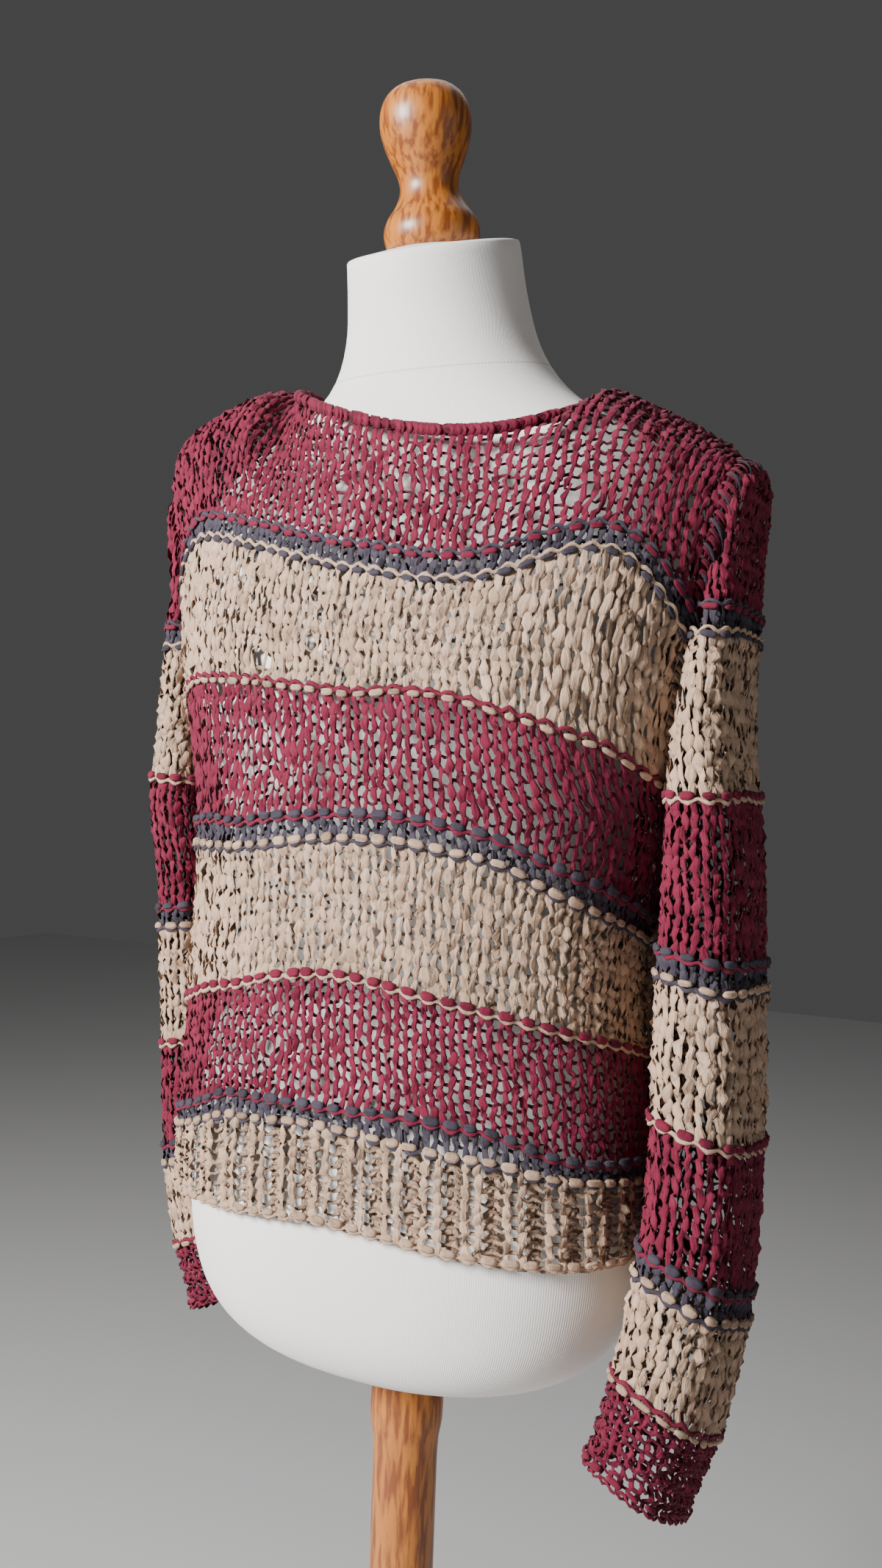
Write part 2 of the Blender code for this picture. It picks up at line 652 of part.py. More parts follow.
def neck_band():
    """Rolled edge round the neck, a closed ring of round cord."""
    radius, sides, proud = 0.0036, 6, 0.0012
    way = neck_edge_points()
    count = len(way)
    maker = bmesh.new()
    hoops = []
    for k, (edge, normal) in enumerate(way):
        along = (way[(k + 1) % count][0] - way[k - 1][0]).normalized()
        inwards = along.cross(normal).normalized()
        if inwards.dot(Vector((edge.x, edge.y, 0.0))) > 0:
            inwards.negate()
        upwards = along.cross(inwards)
        if upwards.dot(normal) < 0:
            upwards.negate()
        centre = edge + inwards * (radius + SEAM * 3) + upwards * proud
        hoops.append([
            maker.verts.new(centre + inwards * radius * math.cos(2 * math.pi * m / sides)
                            + upwards * radius * math.sin(2 * math.pi * m / sides))
            for m in range(sides)
        ])
    for k in range(count):
        here, there = hoops[k], hoops[(k + 1) % count]
        for m in range(sides):
            n = (m + 1) % sides
            maker.faces.new((here[m], there[m], there[n], here[n]))
    place("neck_band", maker, "burgundy")


def build():
    for old in list(bpy.data.objects):
        bpy.data.objects.remove(old, do_unlink=True)
    dress_form()
    stand()
    panel("front_panel", True, "taupe")
    panel("back_panel", False, "taupe")
    hem_rib("front_hem_rib", True)
    hem_rib("back_hem_rib", False)
    for name, side in (("left", 1.0), ("right", -1.0)):
        sleeve(name + "_sleeve", side)
        cuff(name + "_cuff", side)
    neck_band()


build()
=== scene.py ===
"""Looks of the striped ribbon-yarn sweater on its dress form with a turned wooden stand.

Metres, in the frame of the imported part: +Z up, the wearer's front towards -Y, the wearer's left
towards +X, and the floor at Z = 0. Cloth is laid out in wales, the upright columns of stitches,
and courses, the rows. A place on a piece of cloth is (wale, course).
"""
import math

import bmesh
import bpy
import numpy as np
from bpy.props import FloatProperty, FloatVectorProperty, IntProperty, PointerProperty
from mathutils import Matrix, Vector


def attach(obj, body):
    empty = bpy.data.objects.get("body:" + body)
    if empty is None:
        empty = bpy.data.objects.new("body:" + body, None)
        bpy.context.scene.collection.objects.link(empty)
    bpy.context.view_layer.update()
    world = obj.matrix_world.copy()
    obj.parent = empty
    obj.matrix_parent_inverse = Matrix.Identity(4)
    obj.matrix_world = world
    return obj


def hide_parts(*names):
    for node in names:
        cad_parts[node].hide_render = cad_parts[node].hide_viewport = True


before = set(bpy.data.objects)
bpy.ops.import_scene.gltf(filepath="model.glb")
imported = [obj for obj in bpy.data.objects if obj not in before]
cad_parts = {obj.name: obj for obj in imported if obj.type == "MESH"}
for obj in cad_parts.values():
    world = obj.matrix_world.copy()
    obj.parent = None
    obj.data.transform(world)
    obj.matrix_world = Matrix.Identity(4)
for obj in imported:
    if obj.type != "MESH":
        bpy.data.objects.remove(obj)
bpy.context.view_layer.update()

bl_info = {
    "name": "Striped knit sweater on a dress form",
    "version": (1, 0, 0),
    "blender": (4, 5, 0),
    "location": "3D View > Sidebar > Sweater",
    "description": "Knits the sweater stitch by stitch and finishes its dress form and stand",
    "category": "Object",
}


def thousandths(text):
    """The rows of a table, set apart by commas, from millimetres or other thousandths."""
    return tuple(tuple(float(word) / 1000 for word in row.split()) for row in text.split(","))


# ---------------------------------------------------------------- sizes of the garment
BODY_POWER = 2.4         # roundness of the body sections, 2 is an ellipse
SLEEVE_POWER = 2.8
ARMPIT = 1.085
SHOULDER = 1.303
ARMHOLE_HALF = 0.040
NECK_COLUMN = 10 / 18    # column where the neck edge ends and the shoulder seam begins
GRID = 2                 # points of a cloth grid for each wale and each course
BODY_STEP = 0.0025       # between the heights at which the body's section is drawn
SIDES = (("left", 1.0), ("right", -1.0))     # of the wearer, and the sign of x there

# Outer face of the body, bottom to top: height, half width, front, back
BODY = thousandths("""
    780 169 -112 112, 815 170 -113 113, 860 170 -113 112, 910 165 -114 106, 970 160 -117 99,
    1030 162 -122 99, 1080 169 -128 103, 1130 178 -135 107, 1170 187 -137 110, 1210 196 -130 113,
    1250 203 -115 114, 1290 208 -95 112""")
# How the sweater hangs on the form: height, shift towards the wearer's left, turn of the left
# and of the right side
SETTLE = thousandths("""
    780 0 0 0, 960 0 0 0, 1050 4 20 60, 1100 7 40 90, 1200 9 50 90, 1300 6 30 40, 1400 6 30 40""")
# Height of each colour change at these columns, from the wearer's right side seam to the left
COLUMNS = (-1.0, -0.7, -0.35, 0.0, 0.35, 0.7, 1.0)
FRONT_COURSES = thousandths("""
    820 820 826 832 825 819 822, 858 861 883 890 882 869 862, 870 873 897 902 901 880 875,
    936 950 969 984 972 955 936, 1034 1052 1056 1065 1060 1030 1006,
    1050 1068 1073 1080 1075 1045 1020, 1128 1160 1160 1153 1149 1127 1100,
    1210 1258 1245 1226 1216 1235 1186, 1226 1274 1259 1241 1231 1248 1202""")
BACK_COURSES = thousandths("""
    820 818 816 815 816 818 822, 858 866 870 872 870 866 862, 870 880 885 887 885 880 875,
    936 950 960 964 960 950 936, 1034 1046 1056 1060 1054 1036 1006,
    1050 1062 1072 1076 1070 1052 1020, 1128 1146 1156 1158 1152 1134 1100,
    1210 1232 1240 1240 1236 1222 1186, 1226 1248 1256 1256 1252 1238 1202""")
# Shoulder seam, which both panels share: column, x, y, z
SHOULDER_SEAM = thousandths("""
    -1000 -214 -3 1312, -840 -203 0 1350, -680 -167 4 1369, -555.6 -124 8 1379, 555.6 120 6 1353,
    680 154 7 1338, 840 188 4 1317, 1000 210 -3 1297""")
# Neck edge of each panel between the shoulder seams: column, x, y, z
FRONT_NECK = thousandths("""
    -555.6 -124 8 1379, -380 -100 -36 1361, -160 -52 -68 1338, 60 0 -79 1321, 260 47 -80 1313,
    410 84 -71 1315, 500 109 -44 1330, 555.6 120 6 1353""")
BACK_NECK = thousandths("""
    -555.6 -124 8 1379, -460 -108 62 1368, -240 -58 93 1358, 0 0 99 1352, 240 58 93 1349,
    460 105 62 1353, 555.6 120 6 1353""")
# Sleeves below the underarm, bottom to top:
# height, x centre, y centre, half depth, half thickness, drop outwards, drop backwards
LEFT_SLEEVE = thousandths("""
    708 188 -78 41 24 500 450, 748 198 -60 45 26.5 500 420, 800 205 -40 49 28.5 400 280,
    860 207 -24 52 28.5 320 160, 930 205 -14 54 28.5 260 100, 1000 202 -10 54 27 160 60,
    1050 200 -11 53 25 60 20, 1085 197.5 -12.5 52 23 0 0""")
RIGHT_SLEEVE = thousandths("""
    708 165 30 40 21 450 200, 748 181 34 44 22 400 160, 800 194 38 47 22 320 100,
    860 197.5 38 49 22.5 260 60, 930 197 34 50 23 200 40, 1000 194.5 18 51 23 120 20,
    1050 195.5 0 52 22.5 40 0, 1085 197.5 -12.5 52 23 0 0""")
# Sleeve cap, from the shoulder end down: distance below it, half depth, half thickness
SLEEVE_CAP = thousandths("""
    0 4 1.2, 3 9.5 3.6, 7 17 5, 14 24.5 6, 30 31 7, 60 38 9, 100 45 13, 140 49 16.5, 180 51 20,
    214 52 23""")
CAP_TOP_GAP = 0.002      # how far below the shoulder end the sleeve's last course lies

# Stripes from the edge up: yarn, courses. The body's first stripe is the rib of the hem.
BODY_STRIPES = (("taupe", 8), ("slate", 2), ("burgundy", 10), ("taupe", 10), ("slate", 2),
                ("burgundy", 9), ("taupe", 9), ("slate", 2))
YOKE_COURSES = 10        # at the middle of the front; the shoulders have more
# Sleeve stripes from the cuff up: yarn, courses, height of the upper end
SLEEVE_STRIPES = (("burgundy", 5, 0.750), ("taupe", 7, 0.807), ("slate", 2, 0.822),
                  ("burgundy", 9, 0.900), ("taupe", 10, 0.988), ("slate", 2, 1.003),
                  ("burgundy", 11, 1.098), ("taupe", 11, 1.192), ("slate", 2, 1.206),
                  ("burgundy", 11, SHOULDER))
CUFF_COURSES = SLEEVE_STRIPES[0][1]
GARTER_ROWS = 9            # the cuffs' garter rows, lower than the sleeves' courses
RIB_COURSES = BODY_STRIPES[0][1]
PANEL_STRIPES = (*BODY_STRIPES, ("burgundy", 99))    # the yoke's last stripe has no upper end
SLEEVE_TOTAL = sum(count for _, count, _ in SLEEVE_STRIPES)
PUFFY_BELOW = 1.10         # height under which the ridges of colour changes are puffy
YARNS = ("burgundy", "taupe", "slate")

# Ribbon yarn in a loop: half width of a leg, half width of the ends, half thickness of a leg,
# half thickness of the ends
YARN_SIZES = {
    "burgundy": (0.0023, 0.0010, 0.00042, 0.00075),
    "taupe": (0.0031, 0.0011, 0.00050, 0.00085),
    "slate": (0.0025, 0.0011, 0.00042, 0.00075),
}
# Flattened section of the ribbon: across in half widths, up in half thicknesses
SECTION = np.array(((-1.0, -0.15), (-0.5, 0.85), (0.55, 0.70), (1.0, -0.20), (0.05, -0.75)))
SECTION_LIGHT_AND_SHADE = np.array((-0.7, 0.4, 0.3, -0.8, -1.6))   # painted light and shade: the top is lighter, the edges and the back darker
LOOP_SAMPLES = 9         # rings of the ribbon for each stitch
# How stitches differ, as the spread of each measure: places in wales and courses, sizes as
# shares, twists in radians and tones in the steps of the shader
LEG_SHIFT, LOOP_RISE, YARN_SHIFT, LEG_OUT = 0.055, 0.08, 0.016, 0.0003
LEG_TWIST, END_TWIST = 0.38, 0.75
LEG_WIDTH, LEG_THICKNESS, YARN_WIDTH = 0.13, 0.10, 0.12
LEG_TONE, YARN_TONE = 0.5, 0.25
LEG_PAINTED_LIGHT, END_PAINTED_SHADE = 0.25, 1.9   # painted light and shade: the legs lighter, the loop ends behind them darker
LEG_TURN = 0.16          # the two legs of a loop face a little apart
RIDGE_TILT = 0.9         # how far the purl bumps of a ridge face up and down
RIDGE_WIDER, RIDGE_THICKER = 0.0007, 0.00025
RIB_SHARPNESS = 1.6      # how squarely knit and purl wales part
RIB_BACK = 0.3           # share of the rib's depth that lies behind the cloth's face
RIB_GATHER = 0.34        # how far the knit wales of a rib draw together
RIB_CALM = 0.4           # stitches of a rib pull each other about less
HOLE_CORE = 0.3          # nearer than this to its middle a stretched stitch pushes less
# Ridges of colour changes: half width and half thickness
PUFFY_BUMP, FLAT_DASH, RIDGE_THREAD = (0.0027, 0.0015), (0.0019, 0.0009), (0.0013, 0.0008)
DASH_HALF = 0.36         # half the length of a bump or dash, in wales
SEWN_BELOW = 0.004       # how near to each other the panels' edges are where they are sewn
PULL_SPAN = 2.6          # stitches between two places that are pulled on their own
PULL = (0.075, 0.10)     # how far such a place is pulled, in wales and courses
CAST_ON = 0.16           # course at which the edge's ridge lies
NECK_ROLL = 0.0028       # radius of the rolled neck edge
NECK_POINTS = 360        # points round it
NECK_STEPS = (1.9, 2.3, 4.4)          # of these points between two overcast stitches
NECK_CHANCES = (0.35, 0.35, 0.30)     # how often each step is taken
SEWING_HALF_THICKNESS = 0.0006
# Overcast stitches: pitch, half length, bulge, half width, and slant in pitches
SIDE_SEAM = (0.0085, 0.0045, 0.0022, 0.0016, 0.6)
ARMHOLE_SEAM = (0.0062, 0.0060, 0.0034, 0.0028, 0.3)
ARMHOLE_THREAD = (0.0165, 0.0070, 0.0050, 0.0015, 0.45)
SHOULDER_STITCHES = (0.0075, 0.0075, 0.0026, 0.0023, 2.4)

# Stretched stitches of the front: wale, course, radius in stitches, how far they are pushed
FRONT_HOLES = (
    (13.5, 42.5, 1.3, 0.42), (17.0, 44.0, 1.1, 0.30), (10.0, 40.6, 1.0, 0.30),
    (6.5, 21.5, 1.2, 0.35), (17.5, 56.5, 1.2, 0.30), (21.5, 57.5, 1.1, 0.28),
    (30.0, 54.5, 1.3, 0.32), (15.0, 14.5, 1.1, 0.30))

# Dress form, bottom to top: height, half width, front, back
TORSO = thousandths("""
    716 60 -55 45, 720 94 -70 68, 731 125 -85 88, 750 145 -97 99, 776 157 -103 105,
    812 163 -105 107, 860 162 -103 105, 930 149 -97 92, 990 134 -90 80, 1060 140 -95 87,
    1130 152 -118 95, 1170 158 -126 98, 1220 165 -114 102, 1265 175 -91 100, 1295 176 -74 96,
    1314 162 -66 90, 1332 134 -61 84, 1352 101 -58 78, 1372 80 -58 71, 1396 67 -62 59,
    1424 61 -68 44, 1455 58 -74 34""")
TORSO_SIDES = 128
TORSO_RINGS = 110
NECK_SEAM = 1.377        # height of the sewn seam round the foot of the neck, and its slope
NECK_SEAM_TILT = 0.22
BASE_HEIGHT = 0.028
FOOT_GAP = 0.0003
KNOB_LEAN = math.radians(12.0)
NECK_SLANT = math.radians(20.0)   # forward slope of the neck's top
SEAT_RADIUS = 0.0345     # flat seat of the knob in the neck's top
NECK_TOP = Vector((0.0, -0.020, 1.4535))
# Turned profiles: radius, height above the piece's own foot
KNOB_PROFILE = thousandths("""
    27 0, 30.2 2.5, 32 8.5, 31.8 15, 29 21.5, 24.5 27.5, 20.8 34, 19.4 40.5, 20.5 47.5, 24 56,
    27.5 65, 29.8 74.5, 30.2 80, 29.2 88, 25.5 96, 19 101.5, 11 104""")
POLE_PROFILE = thousandths("""
    25 0, 26.5 6, 26.5 18, 22.5 26, 21.2 60, 21.7 340, 21.7 605, 22.2 628, 24 637, 24.8 649,
    24.2 664, 22 678, 19 687.2""")
BASE_PROFILE = thousandths("""
    161 0, 165 3.5, 165 11, 160 16.5, 148 18.5, 140 21.5, 48 26.5, 40 28""")

IMAGE_HEIGHT = 2134      # pixels of the photograph
CAMERA_FOCAL = 1800      # focal length in the same pixels
CAMERA_SIDESTEP = 0.0085


# ---------------------------------------------------------------- settings
def number(name, description, default, low, high, **kind):
    return FloatProperty(name=name, description=description, default=default, min=low, max=high,
                         **kind)


def colour(name, description, *default):
    return FloatVectorProperty(name=name, description=description, default=default,
                               subtype="COLOR", min=0.0, max=1.0)


class KnitSettings(bpy.types.PropertyGroup):
    wales: IntProperty(name="Panel wales", default=38, min=10, max=80,
                       description="Columns of stitches across the front or the back")
    sleeve_wales: IntProperty(name="Sleeve wales", default=22, min=8, max=60,
                              description="Columns of stitches round a sleeve")
    reach: number("Loop reach", "Half the height of a loop, in courses", 0.80, 0.5, 1.2)
    lean: number("Loop lean", "How far a loop narrows at its foot, in wales", 0.16, 0.0, 0.3)
    depth: number("Loop depth", "How far the legs stand in front of the loop ends",
                  0.0013, 0.0, 0.004, unit="LENGTH")
    sink: number("Sink", "How far the yarn's middle lies under the cloth's outer face",
                 0.0009, 0.0, 0.004, unit="LENGTH")
    uneven: number("Unevenness", "How much stitches differ from each other", 1.0, 0.0, 3.0)


class YarnSettings(bpy.types.PropertyGroup):
    burgundy: colour("Burgundy", "Colour of the burgundy yarn", 0.15, 0.0066, 0.0275)
    taupe: colour("Taupe", "Colour of the taupe yarn", 0.43, 0.285, 0.195)
    slate: colour("Slate", "Colour of the slate yarn", 0.046, 0.037, 0.053)


class FormSettings(bpy.types.PropertyGroup):
    jersey: colour("Jersey", "Colour of the form's jersey cover", 0.88, 0.86, 0.82)
    wood_light: colour("Light wood", "Colour of the wood between its grain", 0.47, 0.16, 0.022)
    wood_dark: colour("Dark wood", "Colour of the wood's grain", 0.2, 0.05, 0.008)


class StudioSettings(bpy.types.PropertyGroup):
    floor: colour("Floor", "Colour of the floor", 0.70, 0.69, 0.68)
    key_power: number("Key light", "Power of the large light from the left",
                      155.0, 0.0, 1000.0, unit="POWER")
    fill_power: number("Fill light", "Power of the soft light from the right",
                       4.5, 0.0, 1000.0, unit="POWER")
    azimuth: number("Azimuth", "Angle of the camera round the form, from the front",
                    math.radians(27.0), -math.pi, math.pi, subtype="ANGLE")
    distance: number("Distance", "From the camera to the form's axis", 0.90, 0.1, 10.0,
                     unit="LENGTH")
    height: number("Camera height", "Height of the camera", 1.10, 0.0, 10.0, unit="LENGTH")
    roll: number("Roll", "Turn of the camera about its view", math.radians(2.0),
                 -math.pi, math.pi, subtype="ANGLE")


# ---------------------------------------------------------------- reading the tables
def curve(table, column, at):
    """Smooth curve through one column of a table, at values of its first column, the key."""
    keys, values = np.array(table)[:, [0, column]].T
    last = len(keys) - 1
    low, high = np.maximum(np.arange(last + 1) - 1, 0), np.minimum(np.arange(last + 1) + 1, last)
    slopes = (values[high] - values[low]) / (keys[high] - keys[low])
    at = np.clip(at, keys[0], keys[-1])
    i = np.clip(np.searchsorted(keys, at, side="right") - 1, 0, last - 1)
    span = keys[i + 1] - keys[i]
    t = (at - keys[i]) / span
    return (values[i] * (2 * t**3 - 3 * t**2 + 1) + values[i + 1] * (3 * t**2 - 2 * t**3)
            + span * (slopes[i] * (t**3 - 2 * t**2 + t) + slopes[i + 1] * (t**3 - t**2)))


def row_at(table, at):
    """Each column of a table but its key column, at values of the key."""
    return [curve(table, column, at) for column in range(1, len(table[0]))]


def smooth_step(low, high, value):
    t = np.clip((value - low) / (high - low), 0.0, 1.0)
    return t * t * (3 - 2 * t)


def signed_power(value, power):
    return np.sign(value) * np.abs(value) ** power


def oval(half_width, half_depth, power, angles):
    """x and y of a rounded section. A power of 2 makes an ellipse, and more is squarer."""
    return (half_width * signed_power(np.cos(angles), 2 / power),
            half_depth * signed_power(np.sin(angles), 2 / power))


def unit(vectors):
    """The same vectors with a length of one."""
    length = np.linalg.norm(vectors, axis=-1, keepdims=True)
    return vectors / np.maximum(length, 1e-12)


def arc_lengths(points):
    """How far along the line each of its points lies."""
    return np.concatenate(([0.0], np.cumsum(np.linalg.norm(np.diff(points, axis=0), axis=1))))


def interpolate(at, steps, values):
    """Rows of values, which are given at steps, read at other places."""
    return np.stack([np.interp(at, steps, column) for column in values.T], axis=1)


def between(grid, j, i, ease_in=lambda t: t):
    """The grid's values at columns j and rows i, carried on in a straight line outside it."""
    low_j = np.clip(np.floor(j).astype(int), 0, grid.shape[1] - 2)
    low_i = np.clip(np.floor(i).astype(int), 0, grid.shape[0] - 2)
    s, t = (ease_in(v)[..., None] for v in (j - low_j, i - low_i))
    return ((grid[low_i, low_j] * (1 - s) + grid[low_i, low_j + 1] * s) * (1 - t)
            + (grid[low_i + 1, low_j] * (1 - s) + grid[low_i + 1, low_j + 1] * s) * t)


def settle(points):
    """Points of the sweater as it hangs, turned a little on the form's shoulders."""
    x, y, z = points[..., 0], points[..., 1], points[..., 2]
    shift, left, right = row_at(SETTLE, z)
    turn = right + (left - right) * smooth_step(-0.15, 0.15, x)
    return np.stack((x + shift, y - turn * x, z), axis=-1)


def armhole_gap(height):
    """Half the opening between the front and the back panel at this height."""
    t = (height - (ARMPIT + SHOULDER) / 2) / ((SHOULDER - ARMPIT) / 2)
    if abs(t) >= 1:
        return 0.0
    return ARMHOLE_HALF * ((1 - t**2) ** 0.8 if t < 0 else (1 - t**2.5) ** 0.4)


def stripe_starts(stripes):
    """The course at which each stripe starts, and last where they end."""
    return np.cumsum([0] + [stripe[1] for stripe in stripes])


def shoulder_end(side):
    return SHOULDER_SEAM[-1][3] if side > 0 else SHOULDER_SEAM[0][3]


# ---------------------------------------------------------------- cloth as a grid
class Cloth:
    """A piece of cloth as points over wales and courses. turn is -1 where they run inside out."""

    def __init__(self, points, turn, top=None):
        self.plain = points
        self.points = points = settle(points)
        self.top = top
        across, upwards = np.gradient(points, axis=1), np.gradient(points, axis=0)
        self.across, self.upwards = unit(across), unit(upwards)
        self.normals = unit(np.cross(across, upwards)) * turn

    def at(self, wale, course):
        """Point, normal, direction along the course and direction up the wale."""
        point, *ways = [between(grid, np.asarray(wale) * GRID, np.asarray(course) * GRID)
                        for grid in (self.points, self.normals, self.across, self.upwards)]
        return point, *(unit(way) for way in ways)


def body_rows(front, columns):
    """Points of a body panel below the yoke, a row each BODY_STEP of height."""
    heights = np.arange(0.770, 1.300, BODY_STEP)
    rows = []
    for height in heights:
        half, ahead, behind = row_at(BODY, height)
        depth = (behind - ahead) / 2
        edge = math.asin((armhole_gap(height) / depth) ** (BODY_POWER / 2))
        angles = edge + (math.pi - 2 * edge) * np.linspace(0, 1, 81)
        angles = math.pi + angles if front else math.pi - angles
        x, y = oval(half, depth, BODY_POWER, angles)
        ring = np.stack((x, (ahead + behind) / 2 + y, np.full(len(x), height)), axis=1)
        lengths = arc_lengths(ring)
        rows.append(interpolate((columns + 1) / 2 * lengths[-1], lengths, ring))
    return heights, np.array(rows)


def at_heights(heights, rows, wanted):
    """Points of each column of rows at its own wanted heights."""
    i = (wanted - heights[0]) / BODY_STEP
    low = np.clip(np.floor(i).astype(int), 0, len(heights) - 2)
    t = (i - low)[..., None]
    column = np.arange(rows.shape[1])
    return rows[low, column] * (1 - t) + rows[low + 1, column] * t


def panel_cloth(front, wales):
    """The front or the back from the hem edge to the neck edge and the shoulder seams."""
    columns = np.linspace(-1, 1, wales * GRID + 1)
    heights, rows = body_rows(front, columns)
    courses = FRONT_COURSES if front else BACK_COURSES
    changes = np.array([curve(tuple(zip(COLUMNS, course)), 1, columns) for course in courses])
    starts = stripe_starts(BODY_STRIPES)
    body_courses = np.arange(0, starts[-1] * GRID) / GRID
    wanted = np.array([np.interp(body_courses, starts, changes[:, j])
                       for j in range(len(columns))]).T
    body = at_heights(heights, rows, wanted)

    neck = FRONT_NECK if front else BACK_NECK
    on_neck = np.abs(columns) < NECK_COLUMN - 1e-6
    end = np.stack([np.where(on_neck, *both) for both in zip(
        row_at(neck, columns), row_at(SHOULDER_SEAM, columns))], axis=1)
    start = at_heights(heights, rows, changes[-1])
    rise = unit(at_heights(heights, rows, changes[-1] + 0.004)
                - at_heights(heights, rows, changes[-1] - 0.004))
    over = smooth_step(0.36, 0.56, np.abs(columns))[:, None]
    back = 1.0 if front else -1.0
    arrive = unit(np.concatenate((0 * over, back * (0.35 + 0.65 * over), 0.94 - 0.90 * over), 1))
    reach = np.linalg.norm(end - start, axis=1, keepdims=True) / 3
    fuller = np.where(columns < 0, 0.45 * (1 - smooth_step(0.80, 1.0, -columns)), 0.0)
    full = 1 + (0.35 + fuller[:, None]) * over
    first, second = start + rise * reach, end - arrive * reach * full

    def yoke(t):
        t = np.asarray(t)[..., None]
        u = 1 - t
        return start * u**3 + first * 3 * u * u * t + second * 3 * u * t * t + end * t**3

    steps = np.array([yoke(np.full(len(columns), t)) for t in np.linspace(0, 1, 21)])
    lengths = np.linalg.norm(np.diff(steps, axis=0), axis=2).sum(axis=0)
    count = YOKE_COURSES * lengths / lengths[len(columns) // 2]
    rows_up = int(math.ceil(count.max() + 1)) * GRID
    upper = np.array([yoke(np.minimum(k / GRID / count, 1.04)) for k in range(rows_up)])
    return Cloth(np.concatenate((body, upper)), 1.0 if front else -1.0, starts[-1] + count)


def sleeve_cloth(side, wales, front, back):
    """A sleeve from its cuff end to the shoulder, round from the inside by way of the front."""
    edges = []
    for panel in (front, back):
        line = panel.plain[:, -1 if side > 0 else 0]
        edges.append(line[np.argsort(line[:, 2], kind="stable")])
    table = LEFT_SLEEVE if side > 0 else RIGHT_SLEEVE
    top = shoulder_end(side) - CAP_TOP_GAP
    bounds = [table[0][0]] + [height for _, _, height in SLEEVE_STRIPES[:-1]] + [top]
    starts = stripe_starts(SLEEVE_STRIPES)
    heights = np.interp(np.arange(starts[-1] * GRID + 1) / GRID, starts, bounds)
    offsets = np.arange(wales * GRID + 1) / GRID - wales / 2
    rows, half_wales, pitch = [], [], 0.0
    for height in heights:
        start = out = drop = 0.0
        if height <= ARMPIT:
            x, y, depth, thick, out, drop = row_at(table, height)
        else:
            (x_front, y_front), (x_back, y_back) = (
                interpolate([height], e[:, 2], e[:, :2])[0] for e in edges)
            edge, y = abs(x_front + x_back) / 2, (y_front + y_back) / 2
            gap = max((y_back - y_front) / 2 - 0.0006, 0.0)
            depth, thick = row_at(SLEEVE_CAP, shoulder_end(side) - height)
            depth = (depth**8 + (gap + 0.0012) ** 8) ** 0.125
            start = math.asin((gap / depth) ** (SLEEVE_POWER / 2))
            x = edge + 0.0022 + thick * math.cos(start) ** (2 / SLEEVE_POWER)
            keep = LEFT_SLEEVE[-1][1]
            x = keep + (x - keep) * smooth_step(ARMPIT, ARMPIT + 0.03, height)
        angles = math.pi + start + (2 * math.pi - 2 * start) * np.linspace(0, 1, 97)
        ring = np.stack(oval(thick, depth, SLEEVE_POWER, angles), axis=1)
        lengths = arc_lengths(ring)
        if height <= ARMPIT:
            pitch = lengths[-1] / wales
        lx, ly = interpolate(lengths[-1] / 2 + offsets * pitch, lengths, ring).T
        rows.append(np.stack((side * (x + lx), y + ly, height - out * lx - drop * ly), axis=1))
        half_wales.append(lengths[-1] / 2 / pitch)
    cloth = Cloth(np.array(rows), side)
    cloth.half_wales = np.array(half_wales)
    return cloth


